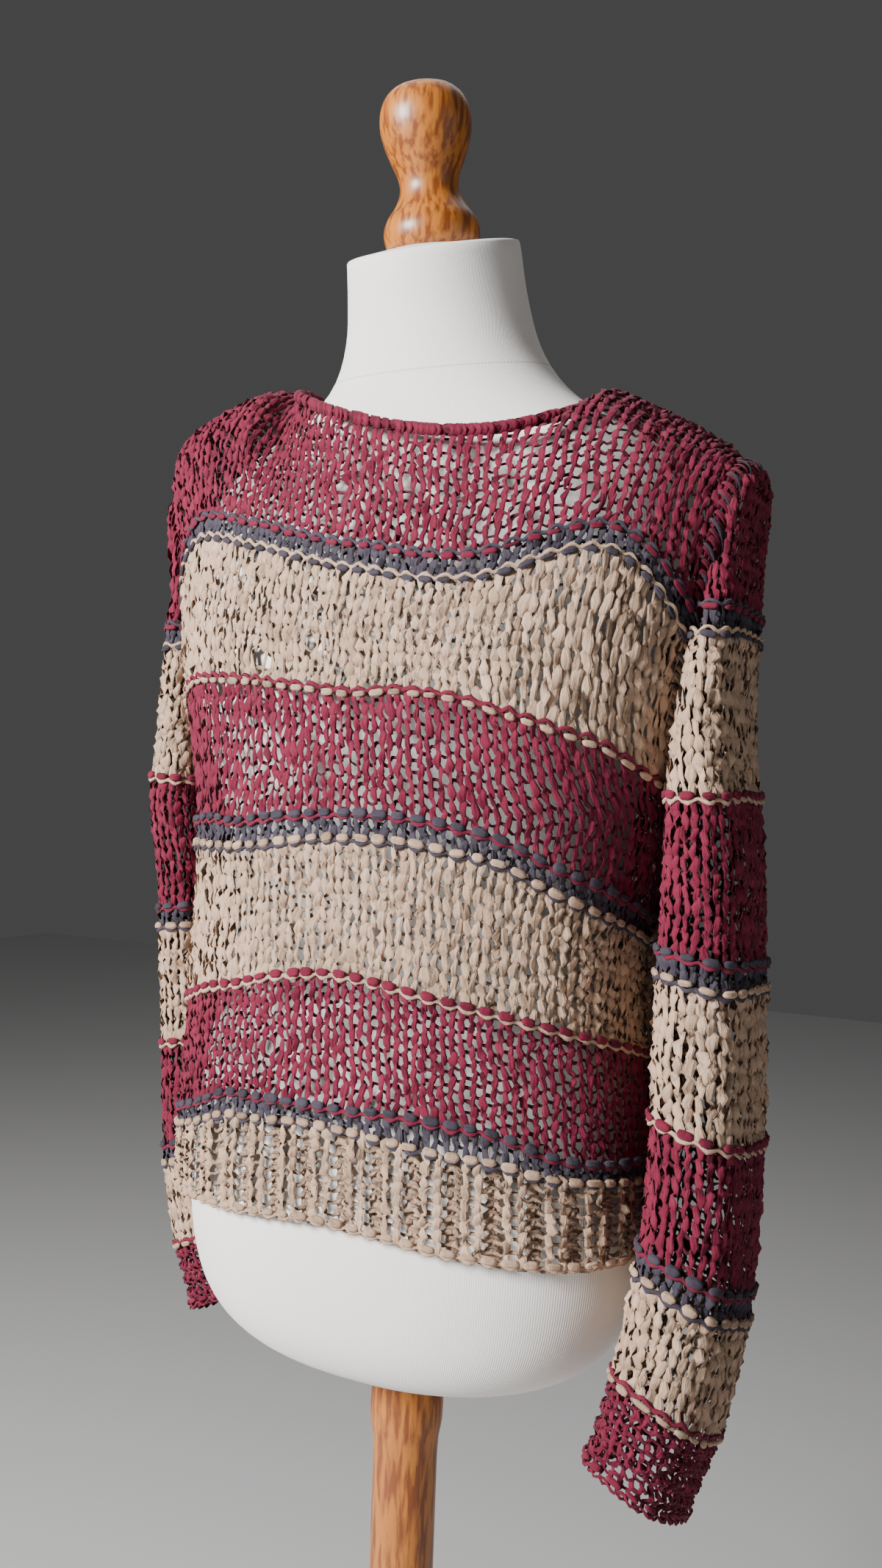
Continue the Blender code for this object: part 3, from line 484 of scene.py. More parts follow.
# ---------------------------------------------------------------- yarn
class Yarn:
    """Gathers ribbons of yarn, and makes one mesh of them."""

    def __init__(self, seed):
        self.knit = bpy.context.scene.sweater_knit
        self.rng = np.random.default_rng(seed)
        self.points, self.faces, self.uvs, self.tones, self.slots = [], [], [], [], []
        self.count = 0
        self.pulls = self.rng.normal(0.0, 1.0, (36, 24, 2))

    def wander(self, wale, course, amount):
        """A place in the net, moved from the even grid as the stitches pull each other about."""
        moved = between(self.pulls, (wale + 6) / PULL_SPAN, (course + 6) / PULL_SPAN,
                        lambda t: smooth_step(0, 1, t))
        return wale + PULL[0] * amount * moved[:, 0], course + PULL[1] * amount * moved[:, 1]

    def ribbon(self, centres, facing, half_widths, half_heights, yarn, tone):
        """Adds one ribbon along centres, flat side towards facing, closed at both ends."""
        along = unit(np.gradient(centres, axis=0))
        side = unit(np.cross(along, facing))
        up = np.cross(side, along)
        n, k = len(centres), len(SECTION)
        widths, heights, tones = (np.broadcast_to(values, n)[:, None]
                                  for values in (half_widths, half_heights, tone))
        rings = (centres[:, None] + side[:, None] * (SECTION[None, :, :1] * widths[..., None])
                 + up[:, None] * (SECTION[None, :, 1:] * heights[..., None]))
        length = arc_lengths(centres)
        ring, corner = np.meshgrid(np.arange(n - 1), np.arange(k), indexing="ij")
        ring, corner = ring.ravel(), corner.ravel()
        after = (corner + 1) % k
        self.faces.append(self.count + np.stack(
            (ring * k + corner, ring * k + after, (ring + 1) * k + after, (ring + 1) * k + corner),
            axis=1))
        v_low, v_high = corner / k, (corner + 1) / k
        u_low, u_high = length[ring], length[ring + 1]
        self.uvs.append(np.stack((u_low, v_low, u_low, v_high, u_high, v_high, u_high, v_low),
                                 axis=1))
        self.slots.append(np.full(len(ring), YARNS.index(yarn)))
        self.points.append(rings.reshape(-1, 3))
        # painted light and shade of the section's corners join the ribbon's tone here
        self.tones.append((tones + SECTION_LIGHT_AND_SHADE).ravel())
        self.count += n * k

    def course(self, cloth, course, start, stitches, yarn, ends=-1.0, rib=0.0, purl=False,
               holes=(), widen=1.0, pace=1.0):
        """Adds one course of stitches. ends says how far the loop ends stand out.

        Ends at -1 lie behind the legs, as in plain knitting, and above 0 they stand in front as
        a ridge does. rib is how far knit and purl wales part, and pace is the height of the row
        in courses.
        """
        rng, knit = self.rng, self.knit
        jumble = knit.uneven
        q = np.arange(stitches * LOOP_SAMPLES + 1) / LOOP_SAMPLES
        turn = 2 * math.pi * (q % 1.0) - math.pi
        leg = np.minimum((q * 2).astype(int), 2 * stitches - 1)
        stitch = np.minimum(q.astype(int), stitches - 1)
        legs, tips = np.sin(turn) ** 2, np.cos(turn) ** 2
        heads, feet = tips * (np.cos(turn) > 0), tips * (np.cos(turn) <= 0)
        front = max(ends, 0)

        def vary(amount, index=leg, count=2 * stitches):
            return rng.normal(0.0, amount * jumble, count)[index]

        wale = q + knit.lean * np.sin(2 * turn) + vary(LEG_SHIFT) * legs
        rise = knit.reach * np.cos(turn) + vary(LOOP_RISE, stitch, stitches) * (1 - feet)
        wale = wale + rng.normal(0, YARN_SHIFT * jumble, len(q))
        out = np.where(purl, -1.0, 1.0) * knit.depth * legs
        out = out + knit.depth * ends * tips
        out = out + vary(LEG_OUT) * legs
        tilt = RIDGE_TILT * front * (heads - feet)
        if rib:
            part = np.clip(RIB_SHARPNESS * np.sin(math.pi * (q + start)), -1.0, 1.0)
            out = part * knit.depth * (legs - tips) + rib * (part - RIB_BACK)
            wale = wale - RIB_GATHER / math.pi * (np.cos(math.pi * (q + start)) - 1.0)
        wale, height = wale + start, course + (0.5 + rise) * pace
        for hole_wale, hole_course, radius, push in holes:
            dx, dy = wale - hole_wale, height - hole_course
            far = np.hypot(dx, dy) + 1e-9
            away = push * np.exp(-((far / radius) ** 2)) * np.minimum(far / HOLE_CORE, 1.0)
            wale, height = wale + dx / far * away, height + dy / far * away
        wale, height = self.wander(wale, height, jumble * (RIB_CALM if rib else 1.0))
        point, normal, across, upwards = cloth.at(wale, height)
        centres = point + normal * (out - knit.sink)[:, None]
        twist = (vary(LEG_TWIST) + np.where(leg % 2, LEG_TURN, -LEG_TURN)) * legs
        twist = twist + vary(END_TWIST) * np.sin(2 * turn)
        facing = normal + across * twist[:, None] + upwards * tilt[:, None]
        leg_width, end_width, leg_height, end_height = YARN_SIZES[yarn]
        widths = (leg_width * legs * (1 + vary(LEG_WIDTH)) + end_width * tips
                  + RIDGE_WIDER * front * tips) * widen
        thick = leg_height * legs + end_height * tips + RIDGE_THICKER * front * tips
        thick = thick * (1 + vary(LEG_THICKNESS) * legs)
        widths = widths * (1 + rng.normal(0, YARN_WIDTH * jumble, len(q)))
        tone = vary(LEG_TONE) * legs + rng.normal(0, YARN_TONE * jumble, len(q))
        # painted shade: the loop ends that lie behind the legs are darker, and the legs lighter
        tone = tone + LEG_PAINTED_LIGHT - END_PAINTED_SHADE * tips**2
        self.ribbon(centres, facing, widths, thick, yarn, tone)

    def ridge(self, cloth, course, stitches, upper, lower, puffy, size=1.0):
        """Adds the ridge of a colour change: a dash on each wale and a thin wavy thread.

        A puffy ridge has bumps of the lower colour over the thread, and a flat one has dashes
        of the upper colour under it.
        """
        rng = self.rng
        thick, thin, side = (lower, upper, 1.0) if puffy else (upper, lower, -1.0)
        half_width, half_height = PUFFY_BUMP if puffy else FLAT_DASH
        t = np.linspace(-1, 1, 9)
        shape = np.sqrt(1 - 0.9 * t**4)
        for stitch in range(stitches):
            wale = stitch + 0.5 + rng.normal(0, 0.05) + t * (DASH_HALF + rng.normal(0, 0.03))
            height = course + side * (0.06 + 0.10 * shape) + rng.normal(0, 0.04) * t
            wale, height = self.wander(wale, height, 1.0)
            point, normal, _, upwards = cloth.at(wale, height)
            out = 0.0006 + 0.0016 * shape
            facing = normal + upwards * rng.normal(0.1 * side, 0.2)
            widths = half_width * size * shape * (1 + rng.normal(0, 0.1))
            self.ribbon(point + normal * out[:, None], facing, widths, half_height * size * shape,
                        thick, rng.normal(0, 0.45))
        q = np.arange(stitches * 6 + 1) / 6
        wave = np.cos(2 * math.pi * q)
        wale, height = self.wander(q, course - side * (0.17 - 0.14 * wave)
                                   + rng.normal(0, 0.025, len(q)), 1.0)
        point, normal, _, _ = cloth.at(wale, height)
        out = 0.0014 - 0.0007 * wave
        half_width, half_height = RIDGE_THREAD
        self.ribbon(point + normal * out[:, None], normal,
                    (half_width + rng.normal(0, 0.0002, len(q))) * size, half_height * size, thin,
                    rng.normal(0, 0.4, len(q)))

    def whips(self, path, across, normal, sizes, yarn_at):
        """Adds overcast stitches over a seam. yarn_at gives the yarn's name at a path index."""
        pitch, half_length, bulge, half_width, slant = sizes
        steps = arc_lengths(path)
        index = np.arange(len(path))
        for at in np.arange(pitch / 2, steps[-1], pitch):
            at = at + self.rng.normal(0, pitch * 0.12)
            arc = np.linspace(0, math.pi, 8)
            reach = half_length * (1 + self.rng.normal(0, 0.15))
            along = np.clip(at + slant * pitch * np.cos(arc) * 0.7, 0, steps[-1])
            line, side, out = (interpolate(along, steps, values)
                               for values in (path, across, normal))
            side, out = unit(side), unit(out)
            centres = (line - side * (reach * np.cos(arc))[:, None]
                       + out * (bulge * np.sin(arc) - 0.0014)[:, None])
            facing = out * np.sin(arc)[:, None] - side * np.cos(arc)[:, None] * 0.8
            width = half_width * (1 + self.rng.normal(0, 0.15))
            widths = width * (0.55 + 0.45 * np.sin(arc))
            tone = self.rng.normal(0, 0.5)
            yarn = yarn_at(int(np.interp(at, steps, index)))
            self.ribbon(centres, facing, widths, SEWING_HALF_THICKNESS, yarn, tone)

    def piece(self, name):
        """One mesh object of all the ribbons gathered so far."""
        points, faces = np.concatenate(self.points), np.concatenate(self.faces)
        mesh = bpy.data.meshes.new(name)

        def fill(data, key, values, kind=np.float32):
            data.foreach_set(key, values.astype(kind).ravel())

        mesh.vertices.add(len(points))
        fill(mesh.vertices, "co", points)
        mesh.loops.add(faces.size)
        fill(mesh.loops, "vertex_index", faces, np.int32)
        mesh.polygons.add(len(faces))
        fill(mesh.polygons, "loop_start", np.arange(0, faces.size, 4), np.int32)
        fill(mesh.polygons, "material_index", np.concatenate(self.slots), np.int32)
        fill(mesh.polygons, "use_smooth", np.ones(len(faces)), bool)
        fill(mesh.uv_layers.new(name="Ribbon").data, "uv", np.concatenate(self.uvs))
        # the tone attribute holds random tone together with painted light and shade
        tone = mesh.attributes.new("tone", "FLOAT", "POINT")
        fill(tone.data, "value", np.concatenate(self.tones))
        for material in yarn_materials():
            mesh.materials.append(material)
        mesh.update()
        mesh.validate()
        crease(mesh)
        close_ends(mesh)
        piece = bpy.data.objects.new(name, mesh)
        bpy.context.scene.collection.objects.link(piece)
        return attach(piece, "root") or piece


def crease(mesh):
    """Marks the edges that run along the ribbons as sharp folds."""
    ends = np.empty(len(mesh.edges) * 2, dtype=np.int32)
    mesh.edges.foreach_get("vertices", ends)
    lengthwise = np.abs(ends[::2] - ends[1::2]) == len(SECTION)
    sharp = mesh.attributes.new("sharp_edge", "BOOLEAN", "EDGE")
    sharp.data.foreach_set("value", lengthwise)


def close_ends(mesh):
    """Caps the open ends of the ribbons."""
    maker = bmesh.new()
    maker.from_mesh(mesh)
    open_edges = [edge for edge in maker.edges if edge.is_boundary]
    bmesh.ops.holes_fill(maker, edges=open_edges, sides=len(SECTION))
    maker.to_mesh(mesh)
    maker.free()


def stripe_of(stripes, course):
    """Yarn of a course."""
    return stripes[np.searchsorted(stripe_starts(stripes)[1:-1], course, side="right")][0]


def changes_in(stripes):
    """Where the yarn changes: course, yarn above and yarn below."""
    return [(int(start), above[0], below[0])
            for start, below, above in zip(stripe_starts(stripes)[1:], stripes, stripes[1:])]


def knit_panel(name, cloth, front, seed):
    yarn = Yarn(seed)
    wales = yarn.knit.wales
    for course in range(RIB_COURSES, int(cloth.top.max()) + 1):
        inside = course + 0.55 < cloth.top[1::GRID]           # one value for each wale
        turns = np.flatnonzero(np.diff(np.concatenate(([0], inside, [0]))))
        for start, end in zip(turns[::2], turns[1::2]):
            yarn.course(cloth, course, start, end - start, stripe_of(PANEL_STRIPES, course),
                        holes=FRONT_HOLES if front else ())
    for course, upper, lower in changes_in(PANEL_STRIPES):
        height = cloth.points[course * GRID, wales, 2]
        yarn.ridge(cloth, course, wales, upper, lower, height < PUFFY_BELOW)
    return yarn.piece(name)


def knit_rib(name, cloth, seed):
    yarn = Yarn(seed)
    for course in range(RIB_COURSES):
        yarn.course(cloth, course, 0, yarn.knit.wales, "taupe", rib=0.0022, widen=0.97)
    yarn.ridge(cloth, CAST_ON, yarn.knit.wales, "taupe", "taupe", True, 0.9)
    return yarn.piece(name)


def knit_sleeve(name, cloth, courses, seed, garter=False):
    yarn = Yarn(seed)
    wales, rows, pace = yarn.knit.sleeve_wales, list(courses), 1.0
    if garter:
        pace = CUFF_COURSES / GARTER_ROWS
        rows = [k * pace for k in range(GARTER_ROWS)]
        yarn.ridge(cloth, CAST_ON, wales, "burgundy", "burgundy", True, 0.66)
    for row, course in enumerate(rows):
        half = cloth.half_wales[min(int((course + 0.5) * GRID), len(cloth.half_wales) - 1)]
        start = max(int(math.ceil(wales / 2 - half - 0.3)), 0)
        stitches = wales - 2 * start
        if stitches < 1:
            continue
        purl = garter and row % 2 == 0
        yarn.course(cloth, course, start, stitches, stripe_of(SLEEVE_STRIPES, course),
                    ends=1.2 if purl else -0.6 if garter else -1.0, purl=purl,
                    widen=0.73 if garter else 1.0, pace=pace)
    for course, upper, lower in changes_in(SLEEVE_STRIPES):
        if course in courses:
            height = cloth.points[course * GRID, 0, 2]
            puffy = height < PUFFY_BELOW and course > CUFF_COURSES
            yarn.ridge(cloth, course, wales, upper, lower, puffy)
    return yarn.piece(name)


# ---------------------------------------------------------------- shader groups
class Nodes:
    """Adds nodes to a tree. Any value may be a constant or the socket that gives it."""

    def __init__(self, tree):
        self.tree = tree

    def give(self, sockets, values):
        """Sets or links these sockets."""
        for key, value in values.items():
            if isinstance(value, bpy.types.NodeSocket):
                self.tree.links.new(value, sockets[key])
            else:
                sockets[key].default_value = value

    def add(self, kind, values=None, **settings):
        """A new node with its settings and its input values."""
        node = self.tree.nodes.new("ShaderNode" + kind)
        for key, value in settings.items():
            setattr(node, key, value)
        self.give(node.inputs, values or {})
        return node

    def maths(self, operation, *values, clamp=False):
        node = self.add("Math", dict(enumerate(values)), operation=operation, use_clamp=clamp)
        return node.outputs[0]

    def times(self, first, second, clamp=False):
        return self.maths("MULTIPLY", first, second, clamp=clamp)

    def total(self, first, *others, clamp=False):
        for other in others:
            first = self.maths("ADD", first, other, clamp=clamp)
        return first

    def spread(self, noise, amount):
        """A noise as a value round 0."""
        return self.times(self.maths("SUBTRACT", noise, 0.5), amount)

    def noise(self, vector, scale, detail, dimensions="3D", **more):
        values = {"Vector": vector, "Scale": scale, "Detail": detail, **more}
        return self.add("TexNoise", values, noise_dimensions=dimensions).outputs[0]

    def mix(self, factor, low, high, blend="MIX"):
        """A colour mix."""
        node = self.add("Mix", data_type="RGBA", blend_type=blend, clamp_factor=True)
        self.give(node.inputs, {0: factor, 6: low, 7: high})
        return node.outputs[2]


def new_group(name, given, made):
    """The nodes of an empty shader node group, what it is given and what it makes."""
    group = bpy.data.node_groups.new(name, "ShaderNodeTree")
    for label, value in given.items():
        kind = "Float" if isinstance(value, float) else "Color" if len(value) == 4 else "Vector"
        group.interface.new_socket(label, in_out="INPUT",
                                   socket_type="NodeSocket" + kind).default_value = value
    for label in made:
        kind = "Color" if label == "Colour" else "Float"
        group.interface.new_socket(label, in_out="OUTPUT", socket_type="NodeSocket" + kind)
    return (Nodes(group), group.nodes.new("NodeGroupInput").outputs,
            group.nodes.new("NodeGroupOutput").inputs)


def ribbon_group():
    """Crumpled ribbon: streaks along the yarn, creases, a tone for each leg of a stitch, and
    painted light and shade.
    """
    nodes, given, made = new_group(
        "Crumpled ribbon",
        {"Colour": (0.5, 0.5, 0.5, 1.0), "Light": (0.7, 0.7, 0.7, 1.0),
         "Dark": (0.2, 0.2, 0.2, 1.0), "Crumple": 1.0},
        ("Colour", "Roughness", "Height"))
    uv = nodes.add("UVMap", uv_map="Ribbon").outputs[0]
    lengthwise = nodes.add("Mapping", {0: uv, "Scale": (110.0, 7.0, 1.0)}).outputs[0]
    streaks = nodes.noise(lengthwise, 1.0, 3.0, "2D", Roughness=0.6)
    place = nodes.add("TexCoord").outputs["Object"]
    creases = nodes.noise(place, 420.0, 4.0, Roughness=0.65)
    patches = nodes.noise(place, 14.0, 2.0)
    tone = nodes.add("Attribute", attribute_name="tone", attribute_type="GEOMETRY")
    # painted light and shade: the tone darkens the loop ends and the ribbons' edges and backs, and
    # the streaks and creases darken the ribbon where its bump sinks; the patches are random tone
    amount = nodes.total(nodes.times(tone.outputs["Fac"], 0.42), nodes.spread(streaks, 1.5),
                         nodes.spread(creases, 1.2), nodes.spread(patches, 0.8))
    lighter = nodes.mix(nodes.times(amount, 1.0, clamp=True), given["Colour"], given["Light"])
    shaded = nodes.mix(nodes.times(amount, -1.0, clamp=True), lighter, given["Dark"])
    height = nodes.total(nodes.times(streaks, 0.8), nodes.times(creases, 0.7))
    nodes.give(made, {"Colour": shaded,
                      "Roughness": nodes.total(nodes.times(creases, 0.25), 0.68),
                      "Height": nodes.times(height, given["Crumple"])})
    return nodes.tree


def jersey_group():
    """Fine ribbed jersey in the form's own UV map, with painted shade between the ribs and a
    stitched seam round the neck.
    """
    nodes, given, made = new_group(
        "Ribbed jersey",
        {"Colour": (0.8, 0.8, 0.78, 1.0), "Seam": (0.30, 0.29, 0.28, 1.0), "Ribs": 640.0},
        ("Colour", "Height"))
    uv = nodes.add("UVMap", uv_map="Jersey").outputs[0]
    u, v, _ = nodes.add("SeparateXYZ", {0: uv}).outputs
    wave = nodes.maths("SINE", nodes.times(u, given["Ribs"]))
    loops = nodes.maths("SINE", nodes.times(v, 5200.0))
    place = nodes.add("TexCoord").outputs["Object"]
    nap, cloud = nodes.noise(place, 900.0, 2.0), nodes.noise(place, 6.0, 3.0)
    _, y, z = nodes.add("SeparateXYZ", {0: place}).outputs
    level = nodes.maths("SUBTRACT", z, nodes.times(y, NECK_SEAM_TILT))
    away = nodes.maths("ABSOLUTE", nodes.maths("SUBTRACT", level, NECK_SEAM))
    line = nodes.maths("SUBTRACT", 1.0, nodes.times(away, 1100.0), clamp=True)
    beat = nodes.maths("SINE", nodes.times(u, 190.0))
    dash = nodes.total(nodes.times(beat, 3.0), 1.6, clamp=True)
    seam = nodes.times(nodes.times(line, dash), 0.62)
    # painted shade: the troughs between the ribs are darker, with a random mottle from the cloud
    # noise
    rib_shade_and_mottle = nodes.total(nodes.times(wave, -0.10), nodes.spread(cloud, 0.22))
    shade_and_mottle_colour = nodes.mix(1.0, given["Colour"], (0.86, 0.86, 0.87, 1.0), "MULTIPLY")
    colour = nodes.mix(nodes.total(rib_shade_and_mottle, 0.22, clamp=True), given["Colour"], shade_and_mottle_colour)
    nodes.give(made, {"Colour": nodes.mix(seam, colour, given["Seam"]),
                      "Height": nodes.total(nodes.times(wave, 0.6), nodes.times(loops, 0.15),
                                            nodes.times(nap, 0.5))})
    return nodes.tree


def wood_group():
    """Turned wood whose grain runs up the piece, in Object coordinates."""
    nodes, given, made = new_group(
        "Turned wood",
        {"Light": (0.6, 0.27, 0.07, 1.0), "Dark": (0.26, 0.085, 0.018, 1.0),
         "Stretch": (1.0, 1.0, 0.12)},
        ("Colour", "Roughness", "Height"))
    place = nodes.add("TexCoord").outputs["Object"]
    stretched = nodes.add("VectorMath", {0: place, 1: given["Stretch"]},
                          operation="MULTIPLY").outputs[0]
    broad = nodes.noise(stretched, 26.0, 4.0, Distortion=1.2)
    fine = nodes.noise(stretched, 260.0, 3.0)
    rings = nodes.maths("ABSOLUTE", nodes.maths("SINE", nodes.times(broad, 16.0)))
    flecks = nodes.times(nodes.maths("SUBTRACT", fine, 0.40), 6.0, clamp=True)
    grain = nodes.times(nodes.total(nodes.times(rings, 0.22), 0.78), flecks, clamp=True)
    nodes.give(made, {"Colour": nodes.mix(grain, given["Dark"], given["Light"]),
                      "Roughness": nodes.total(nodes.times(fine, 0.12), 0.34),
                      "Height": fine})
    return nodes.tree


def group_of(name, maker):
    return bpy.data.node_groups.get(name) or maker()


def finish_with(name, group, values, bump, distance, plain):
    """A material whose Principled BSDF reads a node group. plain sets constant sockets."""
    material = bpy.data.materials.new(name)
    material.use_nodes = True
    nodes = Nodes(material.node_tree)
    effect = nodes.add("Group", node_tree=group)
    nodes.give(effect.inputs, values)
    made = effect.outputs
    relief = nodes.add("Bump", {"Strength": bump, "Distance": distance, "Height": made["Height"]})
    nodes.give(nodes.tree.nodes["Principled BSDF"].inputs, {
        "Base Color": made["Colour"], "Normal": relief.outputs[0],
        **({"Roughness": made["Roughness"]} if "Roughness" in made else {}), **plain})
    return material


def shifted(colour, factor, grey=0.0):
    """A colour made lighter or darker, and greyer."""
    middle = sum(colour) / 3
    return (*[min((c * (1 - grey) + middle * grey) * factor, 1.0) for c in colour], 1.0)


def yarn_materials():
    """The three yarns, in the order of YARNS."""
    colours = bpy.context.scene.sweater_yarn
    made = []
    for name in YARNS:
        label = name + "_ribbon_yarn"
        colour = tuple(getattr(colours, name))
        # Light and Dark are lit and shaded copies of the yarn's colour, for its painted light and
        # shade and its random tone
        made.append(bpy.data.materials.get(label) or finish_with(
            label, group_of("Crumpled ribbon", ribbon_group),
            {"Colour": (*colour, 1.0), "Light": shifted(colour, 1.40, 0.10),
             "Dark": shifted(colour, 0.20), "Crumple": 1.0},
            0.80, 0.0008,
            {"Metallic": 0.0, "Sheen Weight": 0.04, "Sheen Roughness": 0.6,
             "Specular IOR Level": 0.22}))
    return made


# ---------------------------------------------------------------- hard pieces by hand
def start_fresh():
    if bpy.context.mode != "OBJECT":
        bpy.ops.object.mode_set(mode="OBJECT")
    bpy.ops.object.select_all(action="DESELECT")


def smooth_profile(profile, steps):
    """A turned profile with more points, on a smooth curve through the given ones."""
    lengths = arc_lengths(np.array(profile))
    table = tuple((s, r, h) for s, (r, h) in zip(lengths, profile))
    at = np.linspace(0, lengths[-1], steps)
    return list(zip(curve(table, 1, at), curve(table, 2, at)))


def turn_on_lathe(name, profile, sides, place, material):
    """Turned piece: a disc extruded and scaled up its profile, then put in its place."""
    start_fresh()
    radius, height = profile[0]
    bpy.ops.mesh.primitive_circle_add(vertices=sides, radius=radius, fill_type="NGON",
                                      location=(0.0, 0.0, 0.0))
    piece = bpy.context.object
    piece.name = name
    bpy.ops.object.mode_set(mode="EDIT")
    bpy.ops.mesh.select_all(action="SELECT")
    for (r, h), (next_r, next_h) in zip(profile, profile[1:]):
        bpy.ops.mesh.extrude_region_move(
            TRANSFORM_OT_translate={"value": (0.0, 0.0, next_h - h)})
        bpy.ops.transform.resize(value=(next_r / r, next_r / r, 1.0),
                                 center_override=(0.0, 0.0, next_h))
    bpy.ops.mesh.select_all(action="SELECT")
    bpy.ops.mesh.normals_make_consistent(inside=False)
    bpy.ops.object.mode_set(mode="OBJECT")
    piece.matrix_world = place
    bpy.ops.object.transform_apply(location=True, rotation=True, scale=True)
    bpy.ops.object.shade_smooth_by_angle(angle=math.radians(35))
    piece.data.materials.append(material)
    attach(piece, "root")
    return piece


def torso_ring(height, angles):
    """Points of the form's section at a height, before the neck's top leans."""
    half, ahead, behind = row_at(TORSO, height)
    power = 2.3 - 0.3 * smooth_step(1.32, 1.37, height)
    x, y = oval(half, (behind - ahead) / 2, power, angles)
    y = y + (ahead + behind) / 2
    lean = math.tan(NECK_SLANT) * smooth_step(1.39, 1.455, height)
    return np.stack((x, y, height + lean * (y - NECK_TOP.y)), axis=1)


def lay_jersey_uv(mesh):
    """UV map with u as the angle round the form and v as the height in metres."""
    layer = mesh.uv_layers.new(name="Jersey")
    for polygon in mesh.polygons:
        points = [mesh.vertices[index].co for index in polygon.vertices]
        first = math.atan2(points[0].y, points[0].x)
        for loop, point in zip(polygon.loop_indices, points):
            turn = math.atan2(point.y, point.x) - first
            turn -= 2 * math.pi * round(turn / (2 * math.pi))
            layer.data[loop].uv = (first + turn, point.z)


def model_torso(material):
    """The form's torso: a tall cylinder cut into rings, each then drawn to its section."""
    start_fresh()
    low, high = TORSO[0][0], TORSO[-1][0]
    bpy.ops.mesh.primitive_cylinder_add(vertices=TORSO_SIDES, radius=0.1, depth=high - low,
                                        end_fill_type="NGON", location=(0, 0, (low + high) / 2))
    piece = bpy.context.object
    piece.name = "jersey_torso"
    bpy.ops.object.transform_apply(location=True, rotation=True, scale=True)
    bpy.ops.object.mode_set(mode="EDIT")
    bpy.ops.mesh.select_mode(type="EDGE")
    bpy.ops.mesh.select_all(action="DESELECT")
    maker = bmesh.from_edit_mesh(piece.data)
    for edge in maker.edges:
        edge.select_set(abs(edge.verts[0].co.z - edge.verts[1].co.z) > 0.1)    # the upright ones
    bmesh.update_edit_mesh(piece.data)
    bpy.ops.mesh.subdivide(number_cuts=TORSO_RINGS)
    maker = bmesh.from_edit_mesh(piece.data)
    bend = 2.2                               # rings lie closer together at the rounded bottom
    for vert in maker.verts:
        share = min(max((vert.co.z - low) / (high - low), 0.0), 1.0)
        height = low + (high - low) * (share * (1 - 0.5 * (1 - share) ** bend))
        angle = math.atan2(vert.co.y, vert.co.x)
        vert.co = Vector(torso_ring(height, np.array([angle]))[0])
    cap = max(maker.faces, key=lambda face: (len(face.verts), face.calc_center_median().z))
    rim = outermost = list(cap.verts)
    bmesh.ops.delete(maker, geom=[cap], context="FACES_ONLY")
    edges = [vert.co.copy() for vert in rim]
    seat = Matrix.Translation(NECK_TOP) @ Matrix.Rotation(KNOB_LEAN, 4, "X")
    angles = [math.atan2(edge.y - NECK_TOP.y, edge.x) for edge in edges]
    seats = [seat @ Vector((SEAT_RADIUS * math.cos(angle), SEAT_RADIUS * math.sin(angle), 0.0))
             for angle in angles]
    for share, drop in ((0.03, 0.0005), (0.09, 0.0), (1.0, 0.0)):    # rounded rim, flat seat
        ring = [maker.verts.new(edge.lerp(end, share) - Vector((0.0, 0.0, drop)))
                for edge, end in zip(edges, seats)]
        for k in range(len(rim)):
            maker.faces.new((rim[k - 1], rim[k], ring[k], ring[k - 1]))
        rim = ring
    maker.faces.new(rim)
    for vert in outermost:
        vert.co.z -= 0.0018
    bmesh.update_edit_mesh(piece.data)
    bpy.ops.object.mode_set(mode="OBJECT")
    bpy.ops.object.shade_smooth_by_angle(angle=math.radians(45))
    piece.data.materials.append(material)
    lay_jersey_uv(piece.data)
    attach(piece, "root")
    return piece


def neck_line():
    """Points round the neck edge with the way in over the edge, front and then back."""
    wales = bpy.context.scene.sweater_knit.wales
    points, normals = [], []
    first = round((1 - NECK_COLUMN) / 2 * wales * GRID)
    last = wales * GRID - first
    for key, columns in (("front", np.arange(first, last)), ("back", np.arange(last, first, -1))):
        cloth = cloths()[key]
        point, normal, _, _ = cloth.at(columns / GRID, cloth.top[columns] - 0.02)
        points.append(point)
        normals.append(normal)
    return np.concatenate(points), np.concatenate(normals)


def resample(path, count):
    """A closed path as count evenly spaced points, on straight lines between the given ones."""
    closed = np.concatenate((path, path[:1]))
    steps = arc_lengths(closed[:, :3])
    return interpolate(np.linspace(0, steps[-1], count, endpoint=False), steps, closed)


def ease(values, rounds):
    """A closed row of vectors, smoothed."""
    for _ in range(rounds):
        values = (np.roll(values, 1, axis=0) + 2 * values + np.roll(values, -1, axis=0)) / 4
    return values


# ---------------------------------------------------------------- operators
CLOTHS = {}


def cloths():
    """The four cloth grids, made once."""
    if not CLOTHS:
        knit = bpy.context.scene.sweater_knit
        CLOTHS["front"] = panel_cloth(True, knit.wales)
        CLOTHS["back"] = panel_cloth(False, knit.wales)
        for name, side in SIDES:
            CLOTHS[name] = sleeve_cloth(side, knit.sleeve_wales, CLOTHS["front"], CLOTHS["back"])
    return CLOTHS


class SWEATER_OT_panels(bpy.types.Operator):
    """Knit the front and the back, stripe by stripe"""
    bl_idname = "sweater.panels"
    bl_label = "Knit the panels"

    def execute(self, context):
        for name, seed in (("front", 11), ("back", 12)):
            piece = knit_panel(name + "_knit", cloths()[name], name == "front", seed)
            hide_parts(name + "_panel")
        return {"FINISHED"}


class SWEATER_OT_hem_ribs(bpy.types.Operator):
    """Knit the hem in knit-one, purl-one rib"""
    bl_idname = "sweater.hem_ribs"
    bl_label = "Knit the hem ribs"

    def execute(self, context):
        for name, seed in (("front", 21), ("back", 22)):
            piece = knit_rib(name + "_rib_knit", cloths()[name], seed)
            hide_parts(name + "_hem_rib")
        return {"FINISHED"}


